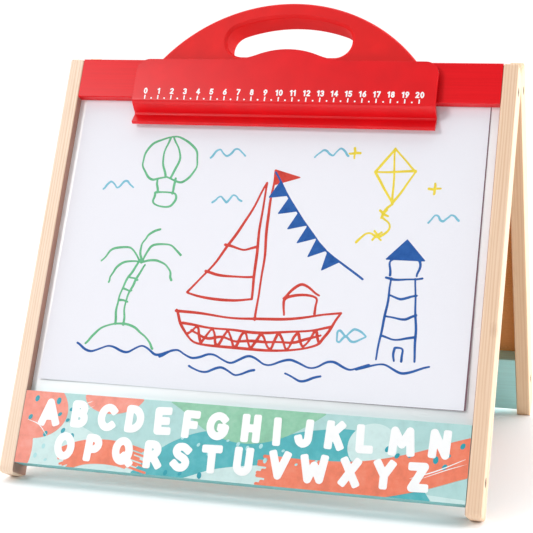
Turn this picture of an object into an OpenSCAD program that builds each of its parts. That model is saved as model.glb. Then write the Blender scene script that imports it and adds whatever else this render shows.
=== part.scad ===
// Folding tabletop drawing easel: two hinged frames, a ruler paper clip and a carry handle.
// Millimetres. +Z up, +X to the user's right, the user sits on the -Y side, floor at Z = 0.
// Each frame is drawn in its own slope coordinates:
//   x across, q down the slope from the frame's top, d back from the frame's outer face.

/* [Overall] */
// Width over the stiles
frame_w = 330; // [300:1:360]
// Height of the fold hinge axis above the floor
hinge_z = 267.6; // [250:0.1:290]
// Lean of each frame from the vertical, in degrees
lean = 25.6; // [23:0.1:27]
// Gap left between the two frames when they are folded flat
fold_gap = 0.8; // [0.6:0.1:1.2]

/* [Stiles] */
// Width of a stile seen from the front
stile_w = 10.6; // [10:0.2:14]
// Depth of a stile, front to back
stile_d = 22; // [20:0.5:24]
// Rounding of the long edges of a stile
stile_r = 1.2; // [1:0.1:3.4]
// Rounding of the foot ends
foot_r = 4.6; // [4:0.1:5]
// Distance from the frame's top down to the fold hinge axis
top_above_hinge = 8; // [7.5:0.1:9]

/* [Rails] */
// Height of the painted top rail
top_rail_h = 29.8; // [28:0.2:32]
// Height of the lower rail that carries the alphabet
low_rail_h = 50.1; // [46:0.1:52]
// Distance from the frame's top to the top edge of the lower rail
low_rail_q = 249.6; // [246:0.1:251]
// Rounding of the painted rails' edges
rail_r = 0.8; // [0.6:0.1:2]
// Depth of the lower rail, front to back
low_rail_d = 16; // [15.5:0.1:22]
// Height of the rear frame's top rail
rear_rail_h = 30; // [24:1:36]
// Distance from the rear frame's top to its top rail
rear_rail_q = 11; // [10.8:0.1:14]

/* [Boards] */
// Depth of the white writing surface behind the front of the frame
board_d = 7; // [6.5:0.1:8]
// Thickness of the backing board
board_t = 3; // [2.4:0.2:3.2]
// Thickness of the steel sheet or chalk surface
sheet_t = 0.6; // [0.4:0.1:0.8]
// How far the boards reach into the grooves
groove = 3; // [2:0.5:4]
// Depth of the chalk surface behind the outer face of the rear frame
chalk_d = 6.4; // [5:0.2:8]

/* [Paper] */
// Width of the drawing sheet
paper_w = 297; // [280:1:300]
// Height of the drawing sheet
paper_h = 210; // [200:1:216]
// Thickness drawn for the sheet
paper_t = 0.25; // [0.2:0.05:0.3]
// Sideways offset of the sheet from the middle
paper_x = -1.0; // [-3:0.1:3]

/* [Ruler clip] */
// Width of the clip
clip_w = 221; // [200:1:240]
// Sideways offset of the clip from the middle
clip_x = 1.1; // [-2:0.1:2]
// Wall thickness of the clip
clip_t = 2.5; // [2.2:0.1:2.8]
// Rounding of the clip's upper corners
clip_corner = 9.5; // [6:0.5:12]
// Height of the thumb hump on the clip
hump_h = 8.5; // [5:0.5:9]
// Half the width of the thumb hump
hump_half = 44; // [34:1:50]
// Sideways offset of the hump from the clip's own middle
hump_x = 1.4; // [-3:0.1:3]
// Where the ruler's zero stands, from the middle
ruler_x0 = -99.8; // [-104:0.1:-96]
// Distance of each pivot from the middle
pivot_x = 70; // [50:1:90]
// Radius of the pivot pins
pivot_r = 1.25; // [1:0.05:1.4]

/* [Handle] */
// Width of the handle at the rail
handle_w = 191; // [180:1:196]
// Height of the handle above the rail
handle_h = 46.4; // [44:0.1:50]
// Thickness of the handle, front to back
handle_t = 22.5; // [18:0.5:22.5]
// Rounding of the handle's outer rim
handle_r = 2; // [1:0.1:3]
// Half the distance between the ends' centres in the hand hole
hole_half = 34; // [28:0.2:36]
// Radius of the hand hole's ends
hole_r = 12.4; // [10:0.2:12.6]

/* [Hinges] */
// Distance of each fold hinge from the middle
hinge_x = 118; // [112:1:128]
// Width of a fold hinge
hinge_w = 34; // [28:1:40]
// Radius of the hinge barrel
barrel_r = 2.3; // [2:0.1:2.4]
// Radius of the hinge pin
hinge_pin_r = 1.1; // [1:0.05:1.2]

/* [Hidden] */
$fn = 64;
e = 0.01;
in_x = frame_w/2 - stile_w;                       // inner face of a stile
foot_l = (hinge_z + 0.8 - foot_r + foot_r*(sin(lean) + cos(lean)))/cos(lean)
         + fold_gap/2*tan(lean);                  // stile end below the hinge
stile_l = foot_l + top_above_hinge;
screw_r = 1.7;
panel_t = 0.3;                                    // printed panel on the lower rail
screw_q1 = 17;                                    // frame screws, down the slope
screw_q2 = 284;
screw_d1 = 10;                                    // and back from the outer face
screw_d2 = 7;
rear_screw_q1 = 17;
rear_screw_d1 = 10;
rear_screw_d2 = 12.4;
leaf_t = 1;
leaf_l = 17;
pivot_q = 16;
pivot_d = 2.5;
clip_top = 1.75;                                   // clip's upper edge below the rail top
clip_d = -5.5;                                    // clip's front face
hd0 = 1.5;                                        // handle's front face
arc_r = (pow(handle_w/2,2) + pow(handle_h,2))/(2*handle_h);
arc_c = arc_r - handle_h;                         // arc centre below the rail top
hole_c = hole_r + 4.3;                            // end centres above the rail top
hole_top = norm([hole_half, hole_c + arc_c]) + hole_r;
FRONT_SCREWS = [[screw_q1,screw_d1], [screw_q2,screw_d2]];
REAR_SCREWS = [[rear_screw_q1,rear_screw_d1], [low_rail_q + low_rail_h/2,rear_screw_d2]];
RED = [0.85, 0.12, 0.10];
TEAL = [0.35, 0.72, 0.72];
PINE = [0.93, 0.80, 0.64];
STEEL = [0.75, 0.76, 0.78];

// ---------- placement ----------
module front_place() translate([0,0,hinge_z]) rotate([-lean,0,0])
    translate([0,-stile_d - fold_gap/2, top_above_hinge]) children();
// the rear frame is the same frame seen from behind
module rear_place() mirror([0,1,0]) front_place() children();
module on_axis(f=1) translate([0,0,hinge_z]) rotate([-f*lean,0,0]) children();

// a box from slope coordinates: x0..x1, d0..d1, q0..q1
module box(x0,x1,d0,d1,q0,q1) translate([x0,d0,-q1]) cube([x1-x0,d1-d0,q1-q0]);
module both() { children(); mirror([1,0,0]) children(); }

module rr(w,h,r) {
    square([w-2*r,h],center=true);
    square([w,h-2*r],center=true);
    for (i=[-1,1]) for (j=[-1,1]) translate([i*(w/2-r),j*(h/2-r)]) circle(r);
}
// 2D capsule between two points
module cap(a,b,t) {
    translate(a) circle(t/2);
    translate(b) circle(t/2);
    translate(a) rotate(atan2(b[1]-a[1],b[0]-a[0])) translate([0,-t/2]) square([norm(b-a),t]);
}
// draws a 2D shape given in (q,d) and sweeps it across x
module across(x0,x1) translate([x0,0,0]) rotate([90,0,90]) linear_extrude(x1-x0) rotate(-90) children();

// everything on the frame's own side of the opening stop and above the floor
module stop_and_floor(r=3) {
    yc = -0.2 - r;
    zc = hinge_z + top_above_hinge/cos(lean) - yc*tan(lean) - r/cos(lean);
    ty = yc + r*sin(lean);
    tz = zc + r*cos(lean) + 0.02;
    translate([-250,0,0]) rotate([90,0,90]) linear_extrude(500) {
        polygon([[-400,0],[-0.2,0],[-0.2,zc],[yc,zc],[ty,tz],[-400,tz+(400+ty)*tan(lean)]]);
        translate([yc,zc]) circle(r);
    }
}

// countersunk screw: head at z = 0, shank towards -z
module csk(l,r,hr,hh) {
    translate([0,0,-hh]) cylinder(h=hh,r1=r,r2=hr);
    translate([0,0,-l]) cylinder(h=l-hh+e,r=r);
    translate([0,0,-l-r*1.3]) cylinder(h=r*1.3+e,r1=0.25,r2=r);
}
module cross_slot(w,t,h) for (a=[0,90]) rotate(a) translate([-w/2,-t/2,-h]) cube([w,t,h+1]);
module csk_hole(l,r,hr,hh) {
    translate([0,0,-hh]) cylinder(h=hh,r1=r,r2=hr);
    translate([0,0,-e]) cylinder(h=5,r=hr);
    translate([0,0,-l]) cylinder(h=l,r=r);
}

// ---------- wooden stiles ----------
module stile_shape() {
    intersection() {
        translate([0,stile_d/2,-stile_l]) linear_extrude(stile_l) rr(stile_w,stile_d,stile_r);
        translate([-20,0,0]) rotate([90,0,90]) linear_extrude(40) {
            translate([stile_d/2,-stile_l/2]) rr(stile_d,stile_l,foot_r);
            translate([stile_d/2,-stile_l/4]) rr(stile_d,stile_l/2,1.6);
        }
        translate([0,40,-stile_l/2]) rotate([90,0,0]) linear_extrude(60) rr(stile_w,stile_l,2.6);
    }
}
// right-hand stile of a frame; g0..g1 is the groove for its boards, screws are [q,d] places
module stile(g0,g1,ga,gb,screws) difference() {
    translate([frame_w/2 - stile_w/2,0,0]) stile_shape();
    box(in_x-1, in_x+groove+0.2, g0-0.1, g1+0.1, ga, gb);
    for (s=screws) translate([frame_w/2,s[1],-s[0]]) rotate([0,90,0])
        csk_hole(60,screw_r+0.05,3.25,1.7);
}
module front_stile() intersection() {
    front_place() stile(board_d, board_d+sheet_t+board_t, 23, low_rail_q+7,
                        FRONT_SCREWS);
    stop_and_floor();
}
module rear_stile() mirror([0,1,0]) intersection() {
    front_place() stile(chalk_d, chalk_d+sheet_t+board_t, rear_rail_q+rear_rail_h-6.5, low_rail_q+7,
                        REAR_SCREWS);
    stop_and_floor();
}
module front_right_stile() color(PINE) front_stile();
module front_left_stile() color(PINE) mirror([1,0,0]) front_stile();
module rear_right_stile() color(PINE) rear_stile();
module rear_left_stile() color(PINE) mirror([1,0,0]) rear_stile();

// ---------- rails ----------
module rail_bar(q0,q1,r=rail_r,d0=0)
    translate([-in_x,0,0]) rotate([90,0,90]) linear_extrude(2*in_x)
        translate([(stile_d+d0)/2,-(q0+q1)/2]) rr(stile_d-d0,q1-q0,r);
module end_screw_holes(s) both() translate([in_x,s[1],-s[0]]) rotate([0,-90,0])
    translate([0,0,-1]) cylinder(h=29.5,r=screw_r+0.05);
// recess for one hinge leaf, in a frame's slope coordinates
module leaf_seat(q0) both() {
    box(hinge_x-hinge_w/2-0.3, hinge_x+hinge_w/2+0.3, stile_d-leaf_t-0.05, stile_d+5,
        q0, top_above_hinge+2.6+leaf_l+0.3);
    for (s=[-1,1]) translate([hinge_x+s*hinge_w/3.2, stile_d, -(top_above_hinge+2.6+leaf_l*0.6)])
        rotate([-90,0,0]) translate([0,0,-11]) cylinder(h=11,r=0.95);
}
module barrel_room() both() on_axis() translate([hinge_x-hinge_w/2-0.3,0,0]) rotate([0,90,0])
    cylinder(h=hinge_w+0.6,r=barrel_r+0.5);

module pocket_at() both() translate([pivot_x,0,0]) children();
module front_top_rail() color(RED) difference() {
    intersection() {
        front_place() rail_bar(0,top_rail_h);
        stop_and_floor();
    }
    front_place() {
        box(-in_x-1,in_x+1, board_d, board_d+sheet_t+board_t+0.1, top_rail_h-6.2, top_rail_h+5);
        // pockets that take the clip's brackets
        pocket_at() box(-7,7,-1,7.5,8.5,23.4);
        pocket_at() translate([0,7.5,-pivot_q]) rotate([-90,0,0]) cylinder(h=9.2,r=0.95);
        // slot for the handle's tongue
        box(-80.2,80.2,7.9,16.1,-1,12.4);
        for (x=[-60,-20,20,60]) translate([x,stile_d,-6.5]) rotate([-90,0,0])
            csk_hole(19,1.35,2.75,1.5);
        leaf_seat(top_above_hinge-1);
        end_screw_holes(FRONT_SCREWS[0]);
    }
    barrel_room();
}
module alphabet_rail() color(TEAL) intersection() {
    front_place() difference() {
        union() {
            translate([-in_x,0,0]) rotate([90,0,90]) linear_extrude(2*in_x)
                translate([(panel_t+low_rail_d)/2,-(low_rail_q+low_rail_h/2)])
                    rr(low_rail_d-panel_t,low_rail_h,rail_r);
            box(-in_x,in_x,panel_t,panel_t+2,low_rail_q,low_rail_q+low_rail_h);
        }
        box(-in_x-1,in_x+1, board_d, board_d+sheet_t+board_t+0.1, low_rail_q-5, low_rail_q+6.2);
        end_screw_holes(FRONT_SCREWS[1]);
    }
    stop_and_floor();
}
// printed panel glued to the face of the lower rail
module alphabet_panel() color([0.95,0.62,0.52]) front_place()
    box(-in_x+0.1,in_x-0.1,0,panel_t,low_rail_q+0.05,low_rail_q+low_rail_h-0.05);

module rear_top_rail() color(RED) rear_place() difference() {
    rail_bar(rear_rail_q,rear_rail_q+rear_rail_h);
    box(-in_x-1,in_x+1, chalk_d, chalk_d+sheet_t+board_t+0.1,
        rear_rail_q+rear_rail_h-6.2, rear_rail_q+rear_rail_h+5);
    leaf_seat(rear_rail_q-1);
    end_screw_holes(REAR_SCREWS[0]);
}
module rear_bottom_rail() color(TEAL) mirror([0,1,0]) intersection() {
    front_place() difference() {
        rail_bar(low_rail_q,low_rail_q+low_rail_h);
        box(-in_x-1,in_x+1, chalk_d, chalk_d+sheet_t+board_t+0.1, low_rail_q-5, low_rail_q+6.2);
        end_screw_holes(REAR_SCREWS[1]);
    }
    stop_and_floor();
}

// ---------- boards and paper ----------
module board(d0,t,q0,q1) box(-in_x-groove+0.2,in_x+groove-0.2,d0,d0+t,q0,q1);
module steel_whiteboard_sheet() color([0.97,0.97,0.97]) front_place()
    board(board_d+0.02,sheet_t-0.02,top_rail_h-6,low_rail_q+6);
module front_backing_board() color([0.55,0.37,0.22]) front_place()
    board(board_d+sheet_t,board_t,top_rail_h-6,low_rail_q+6);
module chalkboard_sheet() color([0.10,0.12,0.11]) rear_place()
    board(chalk_d+0.02,sheet_t-0.02,rear_rail_q+rear_rail_h-6,low_rail_q+6);
module rear_backing_board() color([0.60,0.38,0.21]) rear_place()
    board(chalk_d+sheet_t,board_t,rear_rail_q+rear_rail_h-6,low_rail_q+6);
module drawing_paper() color([0.98,0.98,1]) front_place()
    box(paper_x-paper_w/2,paper_x+paper_w/2,board_d-paper_t,board_d,
        top_rail_h+0.15,top_rail_h+0.15+paper_h);

// ---------- frame screws ----------
module side_screws(screws) both() for (s=screws) translate([frame_w/2-0.05,s[1],-s[0]])
    rotate([0,90,0]) difference() { csk(36,screw_r,3.15,1.6); cross_slot(3.4,0.7,1.0); }
module front_frame_screws() color(STEEL) front_place() side_screws(FRONT_SCREWS);
module rear_frame_screws() color(STEEL) rear_place() side_screws(REAR_SCREWS);

// ---------- handle ----------
module hand_hole() {
    for (s=[-1,1]) translate([s*hole_half,hole_c]) circle(hole_r);
    translate([-hole_half,hole_c-hole_r]) square([2*hole_half,hole_r]);
    intersection() {
        translate([0,-arc_c]) circle(hole_top,$fn=160);
        translate([0,-arc_c]) polygon([[0,0],2*[-hole_half,hole_c+arc_c],2*[hole_half,hole_c+arc_c]]);
        translate([-100,hole_c-hole_r]) square([200,100]);
    }
}
module hole_flare(c=1.5) {
    for (s=[-1,1]) translate([s*hole_half,0,hole_c]) rotate([-90,0,0])
        cylinder(h=c,r1=hole_r+c,r2=hole_r);
    intersection() {
        translate([0,0,-arc_c]) rotate([-90,0,0]) cylinder(h=c,r1=hole_top+c,r2=hole_top,$fn=160);
        translate([0,30,-arc_c]) rotate([90,0,0]) linear_extrude(60)
            polygon([[0,0],2*[-hole_half,hole_c+arc_c],2*[hole_half,hole_c+arc_c]]);
        translate([-80,-1,hole_c]) cube([160,5,80]);
    }
    translate([-hole_half,0,0]) rotate([90,0,90]) linear_extrude(2*hole_half)
        polygon([[0,hole_c-hole_r-c],[c,hole_c-hole_r],[c,hole_c],[0,hole_c]]);
}
module carry_handle() color(RED) front_place() difference() {
    union() {
        intersection() {
            // disc with a rounded rim
            translate([0,hd0,-arc_c]) rotate([-90,0,0]) rotate_extrude($fn=160) {
                square([arc_r-handle_r,handle_t]);
                translate([0,handle_r]) square([arc_r,handle_t-2*handle_r]);
                for (y=[handle_r,handle_t-handle_r]) translate([arc_r-handle_r,y]) circle(handle_r);
            }
            translate([-handle_w/2-1,0,0.05]) cube([handle_w+2,40,handle_h+2]);
        }
        box(-80,80,8,16,-1,12);
    }
    translate([0,60,0]) rotate([90,0,0]) linear_extrude(80) hand_hole();
    // softened rim of the hand hole, front and back
    translate([0,hd0,0]) hole_flare();
    translate([0,hd0+handle_t,0]) mirror([0,1,0]) hole_flare();
    for (x=[-60,-20,20,60]) translate([x,stile_d,-6.5]) rotate([-90,0,0]) translate([0,0,-19])
        cylinder(h=15,r=1.35);
}
module handle_screws() color(STEEL) front_place() for (x=[-60,-20,20,60])
    translate([x,stile_d-0.05,-6.5]) rotate([-90,0,0])
        difference() { csk(15,1.3,2.65,1.4); cross_slot(2.8,0.6,0.9); }

// ---------- ruler clip ----------
// side profile in (q,d): plate, ridge, waist that presses the paper, flared lip
function arc(c,r,a0,a1,n=10) = [for (i=[0:n]) [c[0]+r*cos(a0+(a1-a0)*i/n), c[1]+r*sin(a0+(a1-a0)*i/n)]];
cm = clip_d + clip_t/2;          // middle of the plate
r1 = 2.5;  a1 = 60;              // ridge
r2 = 2.8;  a2 = 28;              // waist
lip_d = 1.2;                     // middle of the lip's end
wd = board_d - paper_t - 0.6 - clip_t/2;       // waist's deepest middle line
p1 = [33,cm];
p2 = [p1[0] + r1*sin(a1), cm + r1*(1-cos(a1))];
p3d = wd - r2*(1-cos(a1));
ls = (p3d - p2[1])/sin(a1);
p3 = [p2[0] + ls*cos(a1), p3d];
wq = p3[0] + r2*sin(a1);         // waist
p4 = [wq + r2*sin(a2), wd - r2 + r2*cos(a2)];
lp = (p4[1] - lip_d)/sin(a2);
p5 = [p4[0] + lp*cos(a2), lip_d];
ridge = [p1[0], cm+r1];
waist = [wq, wd-r2];
module clip_profile() polygon(concat(
    [[-hump_h,clip_d]],
    arc(ridge,r1+clip_t/2,-90,-90+a1),
    arc(waist,r2-clip_t/2,90+a1,90-a2),
    arc(p5,clip_t/2,-90-a2,90-a2),
    arc(waist,r2+clip_t/2,90-a2,90+a1),
    arc(ridge,r1-clip_t/2,-90+a1,-90),
    [[-hump_h,clip_d+clip_t]]));
// front view of the clip: rounded upper corners and a thumb hump in the middle
module clip_outline() {
    k = hump_half/2;
    rad = (k*k + pow(hump_h/2,2))/hump_h;
    f = asin(k/rad);
    w = clip_w/2 - clip_corner;
    translate([clip_x,-clip_top]) polygon(concat(
        [[-clip_w/2,-80]],
        arc([-w,-clip_corner],clip_corner,180,90),
        arc([hump_x-2*k,rad],rad,-90,-90+f),
        arc([hump_x,hump_h-rad],rad,90+f,90-f,16),
        arc([hump_x+2*k,rad],rad,-90-f,-90),
        arc([w,-clip_corner],clip_corner,90,0),
        [[clip_w/2,-80]]));
}
module ruler_clip() color(RED) front_place() difference() {
    union() {
        intersection() {
            across(clip_x-clip_w/2,clip_x+clip_w/2) clip_profile();
            translate([0,40,0]) rotate([90,0,0]) linear_extrude(80) clip_outline();
        }
        // lugs that reach back to the pivots
        pocket_at() across(-3.6,-0.6) {
            translate([pivot_q,pivot_d]) circle(2.8);
            translate([pivot_q-2.8,clip_d+clip_t/2]) square([5.6,pivot_d-clip_d-clip_t/2]);
        }
        // ribs along the back of the plate
        across(clip_x-clip_w/2+12,clip_x+clip_w/2-12) translate([27.2,cm]) square([1.6,clip_t/2+1.2]);
    }
    pocket_at() translate([-4,pivot_d,-pivot_q]) rotate([0,90,0]) cylinder(h=4,r=pivot_r+0.05);
}
// ticks and dots of a 200 mm ruler on the face of the clip
module ruler_marks() color([1,1,1]) front_place() for (i=[0:20])
    translate([ruler_x0+10*i,clip_d-0.12,0]) {
        translate([-0.45,0,-33.2]) cube([0.9,0.12,3.1]);
        if (i<20) translate([5,0,-32.4]) rotate([-90,0,0]) cylinder(h=0.12,r=0.6,$fn=24);
    }
module clip_grip_pad() color([0.25,0.25,0.27]) front_place() difference() {
    across(clip_x-clip_w/2+2,clip_x+clip_w/2-2) translate([wq-2.2,wd-0.6]) square([4.4,clip_t/2+0.95]);
    across(clip_x-clip_w/2,clip_x+clip_w/2) clip_profile();
}
// ---------- clip pivots ----------
module clip_brackets() color(STEEL) front_place() pocket_at() difference() {
    union() {
        box(-5.8,5.8,6.3,7.5,10,23);
        for (x=[-5.8,4.6]) across(x,x+1.2) {
            translate([pivot_q,pivot_d]) circle(2.9);
            translate([pivot_q-2.9,pivot_d]) square([5.8,4.9]);
        }
    }
    translate([-8,pivot_d,-pivot_q]) rotate([0,90,0]) cylinder(h=16,r=pivot_r+0.01);
    translate([0,6.3,-pivot_q]) rotate([90,0,0]) csk_hole(5,0.95,1.95,1.0);
}
module clip_bracket_screws() color(STEEL) front_place() pocket_at()
    translate([0,6.35,-pivot_q]) rotate([90,0,0])
        difference() { csk(8.6,0.9,1.85,0.9); cross_slot(2,0.5,0.6); }
module clip_pivot_pins() color(STEEL) front_place() pocket_at()
    translate([-6.2,pivot_d,-pivot_q]) rotate([0,90,0]) cylinder(h=12.4,r=pivot_r);
// torsion springs on the pivot pins, one leg on the bracket and one behind the plate
module clip_springs() color(STEEL) front_place() pocket_at() {
    for (i=[0:4]) translate([0.35+0.78*i,pivot_d,-pivot_q]) rotate([0,90,0])
        rotate_extrude($fn=48) translate([1.85,0]) circle(0.42,$fn=24);
    across(3.05,3.89) cap([pivot_q-0.6,pivot_d-1.8],[10.6,-2.4],0.84);
    across(-0.07,0.77) cap([pivot_q+1.85,pivot_d],[pivot_q+2.6,5.7],0.84);
}

// ---------- fold hinges ----------
// f = 1: leaf on the front frame with two knuckles; f = -1: rear leaf with one
module hinge_leaf(f) {
    k = hinge_w*0.3;
    difference() {
        union() {
            // plate
            translate([-hinge_w/2, -fold_gap/2-leaf_t, -2.6-leaf_l]) cube([hinge_w,leaf_t,leaf_l-0.4]);
            for (x = f==1 ? [[-hinge_w/2,k-0.2],[hinge_w/2-k+0.2,k-0.2]] : [[-hinge_w/2+k+0.2,hinge_w-2*k-0.4]]) {
                translate([x[0],-fold_gap/2-leaf_t,-4]) cube([x[1],leaf_t,4]);
                translate([x[0],0,0]) rotate([0,90,0]) cylinder(h=x[1],r=barrel_r);
            }
        }
        translate([-hinge_w,0,0]) rotate([0,90,0])
            cylinder(h=2*hinge_w,r=f==1 ? hinge_pin_r+0.01 : hinge_pin_r+0.06);
        for (s=[-1,1]) translate([s*hinge_w/3.2,-fold_gap/2,-2.6-leaf_l*0.6]) rotate([-90,0,0])
            csk_hole(3,0.95,2.0,1.0);
    }
}
module hinge_screws() for (s=[-1,1])
    translate([s*hinge_w/3.2,-fold_gap/2-0.02,-2.6-leaf_l*0.6]) rotate([-90,0,0])
        difference() { csk(9.4,0.9,1.9,0.95); cross_slot(2,0.45,0.6); }
module hinge_at() both() translate([hinge_x,0,0]) children();
module hinge_front_leaves() color(STEEL) on_axis() hinge_at() hinge_leaf(1);
module hinge_front_screws() color(STEEL) on_axis() hinge_at() hinge_screws();
module hinge_rear_leaves() color(STEEL) mirror([0,1,0]) on_axis() hinge_at() hinge_leaf(-1);
module hinge_rear_screws() color(STEEL) mirror([0,1,0]) on_axis() hinge_at() hinge_screws();
module hinge_pins() color(STEEL) on_axis() hinge_at()
    translate([-hinge_w/2-0.2,0,0]) rotate([0,90,0]) cylinder(h=hinge_w+0.4,r=hinge_pin_r);

front_left_stile();
front_right_stile();
front_top_rail();
alphabet_rail();
alphabet_panel();
front_backing_board();
steel_whiteboard_sheet();
drawing_paper();
front_frame_screws();
carry_handle();
handle_screws();
clip_brackets();
clip_bracket_screws();
clip_pivot_pins();
clip_springs();
ruler_clip();
ruler_marks();
clip_grip_pad();
hinge_front_leaves();
hinge_front_screws();
hinge_pins();
hinge_rear_leaves();
hinge_rear_screws();
rear_left_stile();
rear_right_stile();
rear_top_rail();
rear_bottom_rail();
rear_backing_board();
chalkboard_sheet();
rear_frame_screws();
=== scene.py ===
import bpy
import math
import numpy as np
from mathutils import Matrix, Vector


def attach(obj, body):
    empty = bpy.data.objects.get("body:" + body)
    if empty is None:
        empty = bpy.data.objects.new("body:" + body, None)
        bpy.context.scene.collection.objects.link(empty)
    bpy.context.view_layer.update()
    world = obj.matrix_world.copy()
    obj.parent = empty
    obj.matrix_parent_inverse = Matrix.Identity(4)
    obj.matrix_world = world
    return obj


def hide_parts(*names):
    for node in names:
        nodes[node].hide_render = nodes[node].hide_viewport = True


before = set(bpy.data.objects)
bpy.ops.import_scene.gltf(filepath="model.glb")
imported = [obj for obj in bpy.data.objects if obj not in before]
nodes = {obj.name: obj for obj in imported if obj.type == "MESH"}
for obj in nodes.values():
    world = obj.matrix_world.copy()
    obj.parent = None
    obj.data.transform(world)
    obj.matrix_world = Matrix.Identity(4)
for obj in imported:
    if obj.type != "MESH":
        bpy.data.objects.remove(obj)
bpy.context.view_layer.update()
scene = bpy.context.scene

# ---------------------------------------------------------------- frame of the front leaf
LEAN = math.radians(25.6)
HINGE_Z = 0.2676
MM = 0.001


def leaf(lean, z):
    return (Matrix.Translation((0, 0, z)) @ Matrix.Rotation(-lean, 4, "X")
            @ Matrix.Translation((0, -0.0224, 0.008)))


M_FRONT = leaf(LEAN, HINGE_Z)


def srgb(r, g, b):
    def f(c):
        c = c / 255
        return c / 12.92 if c <= 0.04045 else ((c + 0.055) / 1.055) ** 2.4
    return (f(r), f(g), f(b), 1)


# ---------------------------------------------------------------- node helpers
def new_mat(name):
    m = bpy.data.materials.new(name)
    m.use_nodes = True
    nt = m.node_tree
    nt.nodes.clear()
    out = nt.nodes.new("ShaderNodeOutputMaterial")
    bs = nt.nodes.new("ShaderNodeBsdfPrincipled")
    nt.links.new(bs.outputs[0], out.inputs[0])
    return m, nt, bs


def local(nt, scale=(1, 1, 1), rear=False, move=(0, 0, 0)):
    """Leaf coordinates in millimetres: x across, y back from the face, z up the slope from the top."""
    tc = nt.nodes.new("ShaderNodeTexCoord")
    a = nt.nodes.new("ShaderNodeMapping")
    nt.links.new(tc.outputs["Object"], a.inputs[0])
    inv = Matrix.Rotation(LEAN, 3, "X")
    t = -(inv @ Vector((0, 0, HINGE_Z * 1000))) - Vector((0, -22.4, 8))
    a.inputs["Location"].default_value = t
    a.inputs["Rotation"].default_value = (LEAN, 0, 0)
    a.inputs["Scale"].default_value = (1000, -1000 if rear else 1000, 1000)
    b = nt.nodes.new("ShaderNodeMapping")
    nt.links.new(a.outputs[0], b.inputs[0])
    b.inputs["Location"].default_value = move
    b.inputs["Scale"].default_value = scale
    return b.outputs[0]


def noise(nt, vec, scale=1.0, detail=4.0, rough=0.5, dist=0.0):
    n = nt.nodes.new("ShaderNodeTexNoise")
    n.inputs["Scale"].default_value = scale
    n.inputs["Detail"].default_value = detail
    n.inputs["Roughness"].default_value = rough
    n.inputs["Distortion"].default_value = dist
    nt.links.new(vec, n.inputs["Vector"])
    return n.outputs["Fac"]


def wave(nt, vec, scale=1.0, dist=2.0, detail=2.0, dscale=1.0, kind="BANDS", direction="X"):
    n = nt.nodes.new("ShaderNodeTexWave")
    n.wave_type = kind
    if kind == "BANDS":
        n.bands_direction = direction
    n.inputs["Scale"].default_value = scale
    n.inputs["Distortion"].default_value = dist
    n.inputs["Detail"].default_value = detail
    n.inputs["Detail Scale"].default_value = dscale
    nt.links.new(vec, n.inputs["Vector"])
    return n.outputs["Fac"]


def ramp(nt, fac, stops):
    n = nt.nodes.new("ShaderNodeValToRGB")
    cr = n.color_ramp
    while len(cr.elements) < len(stops):
        cr.elements.new(0.5)
    for e, (p, c) in zip(cr.elements, stops):
        e.position = p
        e.color = c if hasattr(c, "__len__") else (c, c, c, 1)
    nt.links.new(fac, n.inputs[0])
    return n.outputs[0]


def mixc(nt, fac, a, b, mode="MIX"):
    n = nt.nodes.new("ShaderNodeMix")
    n.data_type = "RGBA"
    n.blend_type = mode
    for sock, v in ((n.inputs["Factor"], fac), (n.inputs[6], a), (n.inputs[7], b)):
        if hasattr(v, "is_linked") or isinstance(v, bpy.types.NodeSocket):
            nt.links.new(v, sock)
        else:
            sock.default_value = v
    return n.outputs[2]


def mth(nt, op, a, b=0.0, clamp=False):
    n = nt.nodes.new("ShaderNodeMath")
    n.operation = op
    n.use_clamp = clamp
    if op == "MULTIPLY_ADD":
        n.inputs[2].default_value = 0.5
    for sock, v in ((n.inputs[0], a), (n.inputs[1], b)):
        if isinstance(v, bpy.types.NodeSocket):
            nt.links.new(v, sock)
        else:
            sock.default_value = v
    return n.outputs[0]


def sep(nt, vec):
    n = nt.nodes.new("ShaderNodeSeparateXYZ")
    nt.links.new(vec, n.inputs[0])
    return n.outputs


def bump(nt, bs, height, strength=0.2, distance=0.0002):
    n = nt.nodes.new("ShaderNodeBump")
    n.inputs["Strength"].default_value = strength
    n.inputs["Distance"].default_value = distance
    nt.links.new(height, n.inputs["Height"])
    nt.links.new(n.outputs[0], bs.inputs["Normal"])


def put(nt, sock, v):
    if isinstance(v, bpy.types.NodeSocket):
        nt.links.new(v, sock)
    else:
        sock.default_value = v


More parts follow.
